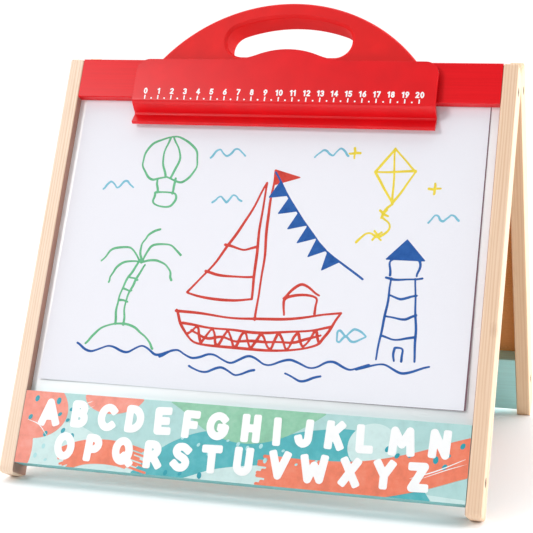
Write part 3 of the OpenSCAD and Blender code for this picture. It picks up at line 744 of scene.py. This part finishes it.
def clip_profile_points():
    """Middle line of the clip's section below the flat plate, as (q, d) with the outward normal towards the front."""
    cm = CLIP_D + CLIP_T / 2
    r1, a1, r2, a2 = 2.5, math.radians(60), 2.8, math.radians(28)
    wd = BOARD_D - 0.25 - 0.6 - CLIP_T / 2
    p1 = (PLATE_END, cm)
    p2 = (p1[0] + r1 * math.sin(a1), cm + r1 * (1 - math.cos(a1)))
    p3d = wd - r2 * (1 - math.cos(a1))
    ls = (p3d - p2[1]) / math.sin(a1)
    p3 = (p2[0] + ls * math.cos(a1), p3d)
    wq = p3[0] + r2 * math.sin(a1)
    p4 = (wq + r2 * math.sin(a2), wd - r2 + r2 * math.cos(a2))
    lp = (p4[1] - LIP_D) / math.sin(a2)
    p5 = (p4[0] + lp * math.cos(a2), LIP_D)
    pts = []
    for k in range(0, 9):                       # ridge
        a = a1 * k / 8
        pts.append((p1[0] + r1 * math.sin(a), cm + r1 * (1 - math.cos(a)), math.sin(a), -math.cos(a)))
    for k in range(1, 6):                       # web
        t = k / 6
        pts.append((p2[0] + (p3[0] - p2[0]) * t, p2[1] + (p3[1] - p2[1]) * t, math.sin(a1), -math.cos(a1)))
    for k in range(0, 13):                      # waist
        a = a1 - (a1 + a2) * k / 12
        pts.append((wq - r2 * math.sin(a), wd - r2 + r2 * math.cos(a), math.sin(a), -math.cos(a)))
    for k in range(1, 7):                       # lip
        t = k / 6
        pts.append((p4[0] + (p5[0] - p4[0]) * t, p4[1] + (p5[1] - p4[1]) * t, -math.sin(a2), -math.cos(a2)))
    return pts


def clip_top_line():
    """Columns of the clip as (x, upper edge q)."""
    k = HUMP_HALF / 2
    rad = (k * k + (HUMP_H / 2) ** 2) / HUMP_H
    cols = []
    w = CLIP_HALF - CLIP_CORNER
    for a in np.linspace(90, 0, 13):
        s = math.radians(a)
        cols.append((-w - CLIP_CORNER * math.sin(s), CLIP_TOP + CLIP_CORNER * (1 - math.cos(s))))
    for x in np.linspace(-w, HUMP_X - HUMP_HALF, 10)[1:]:
        cols.append((x, CLIP_TOP))
    for x in np.linspace(-HUMP_HALF, HUMP_HALF, 49)[1:]:
        if abs(x) > k:
            y = rad - math.sqrt(rad * rad - (HUMP_HALF - abs(x)) ** 2)
        else:
            y = HUMP_H - rad + math.sqrt(rad * rad - x * x)
        cols.append((HUMP_X + x, CLIP_TOP - y))
    for x in np.linspace(HUMP_X + HUMP_HALF, w, 10)[1:]:
        cols.append((x, CLIP_TOP))
    for a in np.linspace(0, 90, 13)[1:]:
        s = math.radians(a)
        cols.append((w + CLIP_CORNER * math.sin(s), CLIP_TOP + CLIP_CORNER * (1 - math.cos(s))))
    return [(x + CLIP_X, q) for x, q in cols]


def build_clip():
    import bmesh
    bm = bmesh.new()
    prof = clip_profile_points()
    cols = clip_top_line()
    h = CLIP_T / 2
    F, B = [], []
    for x, qt in cols:
        f, b = [], []
        for k in range(9):
            q = qt + (PLATE_END - qt) * (k / 9)
            f.append(bm.verts.new((x, CLIP_D, -q)))
            b.append(bm.verts.new((x, CLIP_D + CLIP_T, -q)))
        for q, d, nq, nd in prof:
            f.append(bm.verts.new((x, d + nd * h, -(q + nq * h))))
            b.append(bm.verts.new((x, d - nd * h, -(q - nq * h))))
        F.append(f)
        B.append(b)
    rows = len(F[0])
    for i in range(len(cols) - 1):
        for j in range(rows - 1):
            bm.faces.new((F[i][j], F[i][j + 1], F[i + 1][j + 1], F[i + 1][j]))
            bm.faces.new((B[i][j], B[i + 1][j], B[i + 1][j + 1], B[i][j + 1]))
        bm.faces.new((F[i][0], F[i + 1][0], B[i + 1][0], B[i][0]))
        bm.faces.new((F[i][-1], B[i][-1], B[i + 1][-1], F[i + 1][-1]))
    for c in (0, -1):
        for j in range(rows - 1):
            q = (F[c][j], B[c][j], B[c][j + 1], F[c][j + 1])
            bm.faces.new(q if c == 0 else q[::-1])
    bmesh.ops.recalc_face_normals(bm, faces=bm.faces)
    me = bpy.data.meshes.new("clip_body")
    bm.to_mesh(me)
    bm.free()
    me.transform(Matrix.Scale(MM, 4))
    me.transform(M_FRONT)
    ob = bpy.data.objects.new("clip_body", me)
    scene.collection.objects.link(ob)
    me.materials.append(M_CLIP)
    bv = ob.modifiers.new("edge", "BEVEL")
    bv.width = 0.0011
    bv.segments = 4
    bv.limit_method = "ANGLE"
    bv.angle_limit = math.radians(50)
    bv.use_clamp_overlap = True
    apply_mods(ob)
    flat_faces(ob, 50)
    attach(ob, "paper_clip")
    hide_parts("ruler_clip")
    return ob


clip = build_clip()


def box_piece(name, x0, x1, d0, d1, q0, q1, mat, body, bevel=0.25):
    v = [(x, d, -q) for x in (x0, x1) for d in (d0, d1) for q in (q0, q1)]
    f = [(0, 1, 3, 2), (4, 6, 7, 5), (0, 4, 5, 1), (2, 3, 7, 6), (0, 2, 6, 4), (1, 5, 7, 3)]
    ob = add_mesh(name, [(a * MM, b * MM, c * MM) for a, b, c in v], f, mat, body)
    bv = ob.modifiers.new("edge", "BEVEL")
    bv.width = bevel * MM
    bv.segments = 2
    apply_mods(ob)
    return ob


# rib and pivot lugs behind the clip's plate
box_piece("clip_rib", -97.4, 99.6, -3.1, -1.8, 27.2, 28.8, M_CLIP, "paper_clip", 0.3)


def lug(name, x0, x1):
    n = 20
    ring = [(16 + 2.8 * math.cos(a), 2.5 + 2.8 * math.sin(a)) for a in np.linspace(0, math.pi, n)]
    ring += [(13.2, -3.4), (18.8, -3.4)]
    v = [(x * MM, d * MM, -q * MM) for x in (x0, x1) for q, d in ring]
    m = len(ring)
    f = [tuple(range(m)), tuple(range(2 * m - 1, m - 1, -1))]
    f += [(i, i + m, (i + 1) % m + m, (i + 1) % m) for i in range(m)]
    ob = add_mesh(name, v, f, M_CLIP, "paper_clip")
    bv = ob.modifiers.new("edge", "BEVEL")
    bv.width = 0.2 * MM
    bv.segments = 2
    bv.limit_method = "ANGLE"
    apply_mods(ob)


lug("clip_lug_right", 66.4, 69.4)
lug("clip_lug_left", -69.4, -66.4)

# figures above the long ticks
items = [(str(i), -99.8 + 10 * i, -26.8, 0, 1.0) for i in range(21)]


def on_clip(x, y, top):
    return (x * MM, (CLIP_D - (0.12 if top else -0.02)) * MM, y * MM)


v, f = draw_text(items, 4.6, 1.0, 0.55 + 1.0, 0.15, on_clip)
add_mesh("ruler_figures", v, f, M_WHITE, "paper_clip")

# ---------------------------------------------------------------- printed panel on the lower rail
PX = 154.3
P_TOP, P_BOT = 249.65, 299.65
PH = P_BOT - P_TOP


def sd_circle(X, Y, cx, cy, r, sx=1.0, sy=1.0, rot=0.0):
    c, s = math.cos(math.radians(rot)), math.sin(math.radians(rot))
    u = ((X - cx) * c + (Y - cy) * s) / sx
    w = (-(X - cx) * s + (Y - cy) * c) / sy
    return (np.hypot(u, w) - r) * min(sx, sy)


def below(X, Y, pts):
    """Negative under the curve through pts."""
    P = np.array(spline(pts, n=12))
    return Y - np.interp(X, P[:, 0], P[:, 1])


def clip_panel(D, X, Y, m=0.0):
    return np.maximum(D, np.maximum(np.abs(X) - (PX - m), np.maximum(Y - (PH - m), m - Y)))


def panel_piece(name, sdf, mat, level, x0=-PX - 1, x1=PX + 1, y0=-1, y1=51, h=0.7):
    def field(X, Y):
        return clip_panel(sdf(X, Y), X, Y)
    pts, fs = contour(field, x0, x1, y0, y1, h)

    def lift(x, y, top):
        return (x * MM, (-level if top else 0.02) * MM, (y - P_BOT) * MM)
    v_, f_ = relief(pts, fs, lift)
    return add_mesh(name, v_, f_, mat, "front_frame")


CORAL = print_film("ink_coral", (240, 128, 98), 0.07)
CORAL_PALE = print_film("ink_coral_pale", (241, 146, 128), 0.08)
TEAL_INK = print_film("ink_teal", (78, 178, 186), 0.06)
TEAL_DEEP = print_film("ink_teal_deep", (38, 158, 174), 0.05)
GREEN_INK = print_film("ink_green", (141, 200, 168), 0.08)
MINT_PALE = print_film("ink_mint_pale", (206, 232, 230), 0.05)
WHITE_INK = print_film("ink_white", (246, 250, 250), 0.03)

# layered soft shapes: pale wave, teal wave, green hill, coral sweep, mint and coral discs
panel_piece("print_pale_wave", lambda X, Y: np.maximum(
    below(X, Y, [(-160, 22), (-120, 30), (-90, 20), (-60, 11), (-20, 13), (20, 20), (60, 14), (100, 6), (160, 2)]), -200 + 0 * X),
    MINT_PALE, 0.03)
panel_piece("print_teal_wave", lambda X, Y: np.maximum(
    below(X, Y, [(-70, 0), (-45, 22), (-15, 33), (20, 30), (50, 38), (84, 40), (112, 24), (134, -2)]),
    -below(X, Y, [(-75, -4), (-40, -2), (-10, 8), (25, 13), (55, 9), (90, 1), (134, -6)])), TEAL_INK, 0.05)
panel_piece("print_green_hill", lambda X, Y: -below(
    X, Y, [(-60, 56), (-40, 45), (-18, 31), (6, 26), (30, 31), (52, 44), (70, 58)]), GREEN_INK, 0.07)
panel_piece("print_coral_disc", lambda X, Y: sd_circle(X, Y, -88, 52, 17, 1.3, 0.8, 8), CORAL_PALE, 0.09)
panel_piece("print_coral_end", lambda X, Y: np.minimum(sd_circle(X, Y, -152, 40, 25, 1.25, 0.9, -12),
                                                       sd_circle(X, Y, -163, 10, 25, 0.8, 1.1, 0)), CORAL_PALE, 0.06)
panel_piece("print_mint_disc", lambda X, Y: sd_circle(X, Y, 92, 31, 15, 1.1, 1.0, 20), MINT_PALE, 0.09)


def sweep_field(pts, width, ragged, seed):
    """Broad brush sweep with a ragged end made of bristle tracks."""
    P = np.array(spline(pts, n=10))

    def fn(X, Y):
        D = np.full(X.shape, 1e3)
        n = 13
        d = np.gradient(P, axis=0)
        nrm = np.stack([-d[:, 1], d[:, 0]], 1) / np.linalg.norm(d, axis=1)[:, None]
        for k in range(n):
            o = (k / (n - 1) - 0.5) * width
            cut = int(ragged * (0.5 + 0.5 * math.sin(seed + k * 2.39)) * len(P))
            cut0 = int(ragged * 0.5 * (0.5 + 0.5 * math.sin(seed * 2 + k * 1.71)) * len(P))
            Q = (P + nrm * o)[cut0:len(P) - cut]
            D = np.minimum(D, seg_field(X, Y, Q, width / (n - 1) * 1.25))
        return D
    return fn


panel_piece("print_coral_sweep", sweep_field([(18, 8), (50, 7), (86, 9), (120, 17), (148, 27), (176, 36)], 22, 0.10, 0.6),
            CORAL, 0.11, 10, 156, -1, 51, 0.45)
panel_piece("print_coral_patch", sweep_field([(-122, 4), (-104, 11), (-82, 12), (-58, 7)], 15, 0.22, 2.1),
            CORAL, 0.11, -135, -40, -1, 40, 0.45)


def dots(seed, x0, x1, y0, y1, n, r0, r1, gap=7.0):
    out = []
    k = 0
    while len(out) < n and k < 4000:
        a = math.sin(seed + k * 12.9898) * 43758.5453
        b = math.sin(seed + k * 78.233) * 12543.123
        c = math.sin(seed + k * 37.719) * 9631.77
        a, b, c = a - math.floor(a), b - math.floor(b), c - math.floor(c)
        p = (x0 + a * (x1 - x0), y0 + b * (y1 - y0))
        if all(math.hypot(p[0] - q[0], p[1] - q[1]) > gap for q in out):
            out.append((p[0], p[1], r0 + c * (r1 - r0), 30 + 60 * c))
        k += 1
    return out


def dots_field(ds):
    def fn(X, Y):
        D = np.full(X.shape, 1e3)
        for cx, cy, r, rot in ds:
            D = np.minimum(D, sd_circle(X, Y, cx, cy, r, 1.25, 0.85, rot))
        return D
    return fn


panel_piece("print_teal_dots", dots_field(dots(1.3, -148, -112, 20, 45, 12, 1.2, 2.0)
                                          + dots(4.1, 96, 150, 22, 46, 11, 1.3, 2.1)
                                          + dots(2.2, -60, -20, 2, 9, 5, 1.1, 1.8)), TEAL_DEEP, 0.13, h=0.4)
panel_piece("print_pale_dots", dots_field(dots(6.6, -44, 60, 14, 30, 15, 0.9, 1.6)
                                          + dots(9.2, -140, -125, 3, 16, 4, 1.0, 1.5)), print_film("ink_pale_dots", (176, 224, 226), 0.03), 0.13, h=0.4)


def hairs(lines):
    def fn(X, Y):
        D = np.full(X.shape, 1e3)
        for pts, w in lines:
            P = spline(pts, n=8)
            ws = [w * (0.35 + 0.65 * math.sin(math.pi * (i + 0.5) / len(P))) for i in range(len(P))]
            D = np.minimum(D, seg_field(X, Y, P, ws))
        return D
    return fn


panel_piece("print_brush_hairs", hairs([([(118, 13), (134, 19), (152, 28)], 0.7), ([(124, 13), (140, 20), (153, 25)], 0.5),
                                        ([(-118, 36), (-112, 42), (-104, 46)], 0.6),
                                        ([(-114, 34), (-109, 39), (-102, 43)], 0.4), ([(-150, 30), (-141, 27), (-134, 20)], 0.6)]),
            WHITE_INK, 0.15, h=0.35)

# capitals in two rows
ROW1 = list(zip("ABCDEFGHIJKLMN", [-134.3, -112.0, -91.8, -71.9, -51.8, -31.9, -13.0, 9.9, 27.9, 45.9, 66.7, 86.5, 110.7, 135.1]))
ROW2 = list(zip("OPQRSTUVWXYZ", [-119.5, -98.6, -77.2, -55.6, -35.6, -14.4, 7.4, 31.8, 55.3, 79.1, 101.3, 123.2]))
items = [(c, x, -263.6 + 0.4 * math.sin(i * 2.1), 2.5 * math.sin(i * 1.7 + 1), 1.0) for i, (c, x) in enumerate(ROW1)]
items += [(c, x, -285.8 + 0.4 * math.sin(i * 1.3), 2.5 * math.sin(i * 2.3 + 2), 1.0) for i, (c, x) in enumerate(ROW2)]


def on_panel(x, y, top):
    return (x * MM, (-0.22 if top else 0.02) * MM, y * MM)


v, f = draw_text(items, 18.8, 5.3, 1.0, 0.42, on_panel)
add_mesh("alphabet_letters", v, f, print_film("letter_white", (252, 253, 253), 0.015), "front_frame")

# ---------------------------------------------------------------- sheet of paper, lying slightly proud
X0, W_P, H_P, Q0 = -149.5, 297.0, 210.0, 29.95


def paper_lift(px, py):
    """How far the sheet stands off the board, from its lower left corner, in millimetres."""
    a = np.clip((150 - py) / 150, 0, 1)
    side = np.clip(np.abs(px - 148) / 148, 0, 1)
    edge = np.clip(1 - py / 60, 0, 1)
    return (0.55 * side ** 3 * a + 0.35 * a ** 2 * (0.6 + 0.4 * np.cos(px / 38.0)) + 0.6 * edge * side ** 6
            + 0.3 * side ** 4 + 0.25 * edge ** 2)


def on_paper(px, py, off):
    return ((X0 + px) * MM, (BOARD_D - 0.25 - float(paper_lift(px, py)) - off) * MM, -(Q0 + H_P - py) * MM)


def build_paper():
    nx, ny = 60, 44
    verts, faces = [], []
    for t in (0.0, -0.24):
        for j in range(ny + 1):
            for i in range(nx + 1):
                verts.append(on_paper(W_P * i / nx, H_P * j / ny, t))
    k = (nx + 1) * (ny + 1)
    for j in range(ny):
        for i in range(nx):
            a = j * (nx + 1) + i
            faces.append((a, a + 1, a + nx + 2, a + nx + 1))
            faces.append((a + k, a + nx + 1 + k, a + nx + 2 + k, a + 1 + k))
    for i in range(nx):
        faces.append((i + 1, i, i + k, i + 1 + k))
        a = ny * (nx + 1) + i
        faces.append((a, a + 1, a + 1 + k, a + k))
    for j in range(ny):
        a = j * (nx + 1)
        faces.append((a, a + nx + 1, a + nx + 1 + k, a + k))
        a += nx
        faces.append((a + nx + 1, a, a + k, a + nx + 1 + k))
    ob = add_mesh("paper_sheet", verts, faces, M_PAPER, "front_frame", smooth=True)
    ob.data.set_sharp_from_angle(angle=math.radians(40))
    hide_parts("drawing_paper")
    return ob


build_paper()


def edge_line(name, pts, widths, across):
    """Painted shadow: narrow dark ribbon just behind the sheet's edge, seen as the dark line round a lifted sheet."""
    v_, f_ = [], []
    for (px, py), w in zip(pts, widths):
        for k, off in ((-0.6, -0.19), (w, -0.19), (w, -0.24), (-0.6, -0.24)):
            v_.append(on_paper(px + across[0] * k, py + across[1] * k, off))
    for i in range(len(pts) - 1):
        a = 4 * i
        for j in range(4):
            f_.append((a + j, a + (j + 1) % 4, a + 4 + (j + 1) % 4, a + 4 + j))
    f_ += [(3, 2, 1, 0), tuple(4 * len(pts) - 4 + j for j in range(4))]
    add_mesh(name, v_, f_, ink("sheet_edge_shade", (124, 90, 104), 0.05), "front_frame")


# painted shadow along the right and lower edges of the sheet, widening towards the lower right corner
ts = np.linspace(0, 1, 40)
edge_line("paper_edge_shadow_right", [(W_P, H_P * (1 - t)) for t in ts], [0.55 + 0.55 * t for t in ts], (1, 0))
edge_line("paper_edge_shadow_low", [(W_P * (0.5 + 0.5 * t), 0) for t in ts], [0.02 + 0.32 * t for t in ts], (0, -1))

INK_RED = ink("felt_red", (214, 62, 50))
INK_BLUE = ink("felt_blue", (30, 88, 168))
INK_YELLOW = ink("felt_yellow", (246, 222, 62))
INK_GREEN = ink("felt_green", (104, 190, 138))
INK_PALE = ink("felt_pale_blue", (122, 196, 220))


def wobble(P, amp=0.5, seed=0.0):
    out = []
    for i, (x, y) in enumerate(P):
        s = seed + i * 0.55
        out.append((x + amp * math.sin(s * 1.3 + 0.7) * math.cos(s * 0.41), y + amp * math.sin(s * 0.9 + 2.1)))
    return out


def pen(name, strokes, fills, mat, width, off, h=0.42):
    """strokes: lists of points; fills: closed outlines that are coloured in. Paper coordinates in millimetres."""
    lines = []
    for k, s in enumerate(strokes):
        P = wobble(spline(s, n=9), 0.35, k * 3.1)
        ws = [width * (0.88 + 0.16 * math.sin(i * 0.31 + k)) for i in range(len(P))]
        lines.append((P, ws))
    polys = [np.array(q, float) for q in fills]
    allp = [p for P, _ in lines for p in P] + [tuple(p) for q in polys for p in q]
    xs, ys = [p[0] for p in allp], [p[1] for p in allp]

    def field(X, Y):
        D = np.full(X.shape, 1e3)
        for P, ws in lines:
            D = np.minimum(D, seg_field(X, Y, P, ws))
        for q in polys:
            inside = np.zeros(X.shape, bool)
            n = len(q)
            for a in range(n):
                (xa, ya), (xb, yb) = q[a], q[(a + 1) % n]
                if ya != yb:
                    c = ((ya > Y) != (yb > Y)) & (X < (xb - xa) * (Y - ya) / (yb - ya) + xa)
                    inside ^= c
            e = seg_field(X, Y, q, 0.9, closed=True)
            D = np.minimum(D, np.where(inside, -np.abs(e) - 0.3, e))
        return D
    pts, fs = contour(field, min(xs) - 3, max(xs) + 3, min(ys) - 3, max(ys) + 3, h)
    v_, f_ = relief(pts, fs, lambda x, y, top: on_paper(x, y, off if top else -0.03))
    return add_mesh(name, v_, f_, mat, "front_frame")


# a child's felt-tip picture: sailing boat with bunting, lighthouse, palm island, balloon, kite and birds
pen("drawing_boat", [
    [(93, 55), (101, 41), (112, 33), (150, 31), (188, 34), (200, 43), (209, 60)],
    [(93, 55), (120, 53), (150, 52), (182, 55), (209, 60)],
    [(99, 46), (125, 44), (150, 43), (180, 45), (204, 50)],
    [(150, 52), (151, 90), (150, 128), (151, 160)],
    [(146, 150), (133, 120), (117, 92), (99, 68)], [(99, 68), (122, 64), (146, 66)], [(146, 66), (145, 108), (146, 150)],
    [(110, 84), (128, 81), (145, 82)], [(122, 104), (134, 101), (145, 103)],
    [(104, 39), (110, 44), (114, 34), (121, 43), (126, 32), (132, 43), (138, 32), (144, 42), (150, 32), (156, 42),
     (163, 32), (168, 43), (175, 33), (181, 44), (186, 35), (193, 46), (196, 39)],
    [(106, 42), (116, 37), (128, 38), (140, 36), (155, 37), (170, 37), (184, 39), (197, 44)],
    [(170, 56), (170, 68), (190, 70), (191, 58)], [(168, 68), (180, 78), (193, 71)],
], [[(151, 160), (169, 155), (151, 149)]], INK_RED, 2.0, 0.05)
flags = []
line = spline([(151, 158), (172, 128), (193, 104), (221, 84)], n=8)
for k in range(6):
    a, b = np.array(line[2 + k * 3]), np.array(line[4 + k * 3])
    d = (b - a) / np.linalg.norm(b - a)
    nrm = np.array([d[1], -d[0]]) if d[0] > 0 else np.array([-d[1], d[0]])
    m_ = (a + b) / 2 + nrm * 12
    flags.append([tuple(a - d * 1.2), tuple(b + d * 1.2), tuple(m_)])
pen("drawing_bunting", [[(151, 158), (172, 128), (193, 104), (221, 84)]], flags, INK_BLUE, 1.5, 0.06)
pen("drawing_sea", [
    [(24, 27), (36, 22), (48, 27), (60, 23), (72, 28), (84, 23), (96, 27)],
    [(86, 22), (98, 27), (110, 22), (122, 26), (136, 21), (150, 26), (164, 21), (178, 26), (192, 21), (206, 26), (220, 22), (232, 26)],
    [(224, 22), (240, 27), (254, 22), (272, 27)],
    [(108, 17), (118, 13), (130, 17), (142, 13), (154, 17)], [(176, 16), (188, 12), (200, 16)],
    [(236, 30), (239, 58), (241, 86)], [(262, 30), (260, 58), (257, 86)], [(237, 86), (249, 85), (262, 87)],
    [(240, 88), (240, 99), (258, 99), (258, 88)], [(238, 46), (250, 44), (261, 47)], [(239, 60), (250, 58), (260, 61)],
    [(240, 74), (250, 72), (259, 75)], [(248, 30), (248, 38), (253, 38), (253, 30)],
], [[(236, 99), (262, 99), (249, 113)]], INK_BLUE, 1.7, 0.05)
pen("drawing_palm", [
    [(30, 27), (38, 37), (50, 43), (64, 41), (74, 34), (80, 27)],
    [(50, 43), (49, 58), (53, 74), (60, 88)], [(56, 42), (55, 58), (59, 73), (65, 86)],
    [(62, 88), (52, 98), (40, 97), (32, 88)], [(62, 88), (50, 88), (42, 80), (40, 72)],
    [(62, 88), (68, 100), (80, 102), (90, 95)], [(62, 88), (74, 90), (83, 84), (86, 76)], [(62, 88), (60, 99), (64, 108), (72, 113)],
    [(50, 60), (56, 59)], [(52, 68), (58, 67)], [(55, 77), (61, 75)],
    [(70, 152), (84, 149), (92, 160), (90, 173), (78, 182), (64, 181), (53, 172), (52, 159), (60, 150), (70, 152)],
    [(64, 151), (66, 140)], [(78, 151), (77, 140)], [(64, 140), (65, 131), (78, 131), (79, 140), (64, 140)],
    [(70, 182), (66, 168), (70, 152)], [(72, 182), (79, 168), (74, 152)],
], [], INK_GREEN, 1.7, 0.05)
pen("drawing_kite", [
    [(234, 178), (222, 161)], [(222, 161), (236, 138)], [(236, 138), (250, 162)], [(250, 162), (234, 178)],
    [(234, 178), (236, 138)], [(222, 161), (250, 162)],
    [(236, 138), (230, 130), (236, 122), (229, 114), (222, 117), (214, 110)],
    [(228, 133), (234, 129)], [(233, 134), (229, 128)], [(226, 118), (231, 112)], [(231, 118), (225, 112)],
    [(206, 170), (206, 178)], [(202, 174), (210, 174)], [(264, 146), (264, 154)], [(260, 150), (268, 150)],
], [], INK_YELLOW, 1.8, 0.05)
pen("drawing_birds", [
    [(24, 141), (29, 147), (35, 143), (41, 148), (47, 143)], [(102, 168), (108, 174), (114, 169), (120, 175), (127, 170)],
    [(108, 134), (113, 139), (118, 135), (123, 140), (129, 136)], [(262, 126), (267, 131), (272, 127), (277, 132), (282, 128)],
    [(178, 170), (184, 176), (190, 172), (196, 177), (202, 172)],
    [(214, 44), (220, 49), (228, 45), (220, 41), (214, 44)], [(214, 44), (209, 48), (209, 40), (214, 44)],
], [], INK_PALE, 1.6, 0.05)

# ---------------------------------------------------------------- floor, light, camera
fm, fnt, fbs = new_mat("floor_white")
fl = fnt.nodes.new("ShaderNodeTexNoise")
fl.inputs["Scale"].default_value = 3.0
fr = ramp(fnt, fl.outputs["Fac"], [(0.3, srgb(250, 251, 252)), (0.7, srgb(253, 254, 255))])
fnt.links.new(fr, fbs.inputs["Base Color"])
fbs.inputs["Roughness"].default_value = 0.6
fbs.inputs["Specular IOR Level"].default_value = 0.2
fme = bpy.data.meshes.new("floor")
fme.from_pydata([(-6, -4, 0), (6, -4, 0), (6, 8, 0), (-6, 8, 0)], [], [(0, 1, 2, 3)])
floor = bpy.data.objects.new("floor", fme)
scene.collection.objects.link(floor)
fme.materials.append(fm)

world = bpy.data.worlds.new("studio")
scene.world = world
world.use_nodes = True
wt = world.node_tree
bg = wt.nodes["Background"]
# a white studio: full white behind and to the left, dimmer to the right of the front
wd = wt.nodes.new("ShaderNodeTexCoord").outputs["Generated"]
wx, wy, wz = sep(wt, wd)
back = ramp(wt, mth(wt, "MULTIPLY_ADD", wy, 0.5), [(0.36, 0.0), (0.55, 1.0)])
side = ramp(wt, mth(wt, "MULTIPLY_ADD", wx, 0.5), [(0.12, 0.8), (0.32, 0.3), (0.8, 0.24)])
wc = mixc(wt, back, side, (1.06, 1.06, 1.06, 1))
wt.links.new(wc, bg.inputs[0])
bg.inputs[1].default_value = 1.0


def area(name, loc, target, size, power, color=(1, 1, 1), size_y=None):
    li = bpy.data.lights.new(name, "AREA")
    li.energy = power
    li.color = color
    li.size = size
    if size_y:
        li.shape = "RECTANGLE"
        li.size_y = size_y
    ob = bpy.data.objects.new(name, li)
    scene.collection.objects.link(ob)
    ob.location = loc
    d = Vector(target) - Vector(loc)
    ob.rotation_euler = d.to_track_quat("-Z", "Y").to_euler()
    return ob


area("key", (-1.05, -1.44, 1.36), (0, 0, 0.15), 0.55, 14)
area("right_rear", (1.5, 0.5, 0.5), (0.1, 0, 0.12), 1.2, 22, (0.97, 0.985, 1.0))
sun = bpy.data.lights.new("overhead", "SUN")
sun.energy = 1.15
sun.angle = math.radians(70)
sun_ob = bpy.data.objects.new("overhead", sun)
scene.collection.objects.link(sun_ob)
sun_ob.rotation_euler = (math.radians(-12), math.radians(-8), 0)

cam_data = bpy.data.cameras.new("camera")
cam = bpy.data.objects.new("camera", cam_data)
scene.collection.objects.link(cam)
scene.camera = cam
yaw, pitch, roll = math.radians(16.05), math.radians(-8.0), math.radians(0.38)
fwd = Vector((-math.sin(yaw) * math.cos(pitch), math.cos(yaw) * math.cos(pitch), math.sin(pitch)))
right = fwd.cross(Vector((0, 0, 1))).normalized()
up = right.cross(fwd)
r2 = right * math.cos(roll) + up * math.sin(roll)
u2 = -right * math.sin(roll) + up * math.cos(roll)
rot = Matrix((r2, u2, -fwd)).transposed()
# the camera was fitted to the front leaf at 25 degrees and moves with that leaf
cam.matrix_world = (M_FRONT @ leaf(math.radians(25), 0.269).inverted()
                    @ Matrix.Translation((0.27741, -0.9981, 0.29641)) @ rot.to_4x4())
cam_data.sensor_width = 36
cam_data.sensor_fit = "HORIZONTAL"
cam_data.lens = 1422.99 * 36 / 533
cam_data.shift_x = (266.5 - 277.56) / 533
cam_data.shift_y = (245.75 - 266.5) / 533
cam_data.clip_start = 0.01

scene.view_settings.view_transform = "Standard"
scene.view_settings.look = "None"
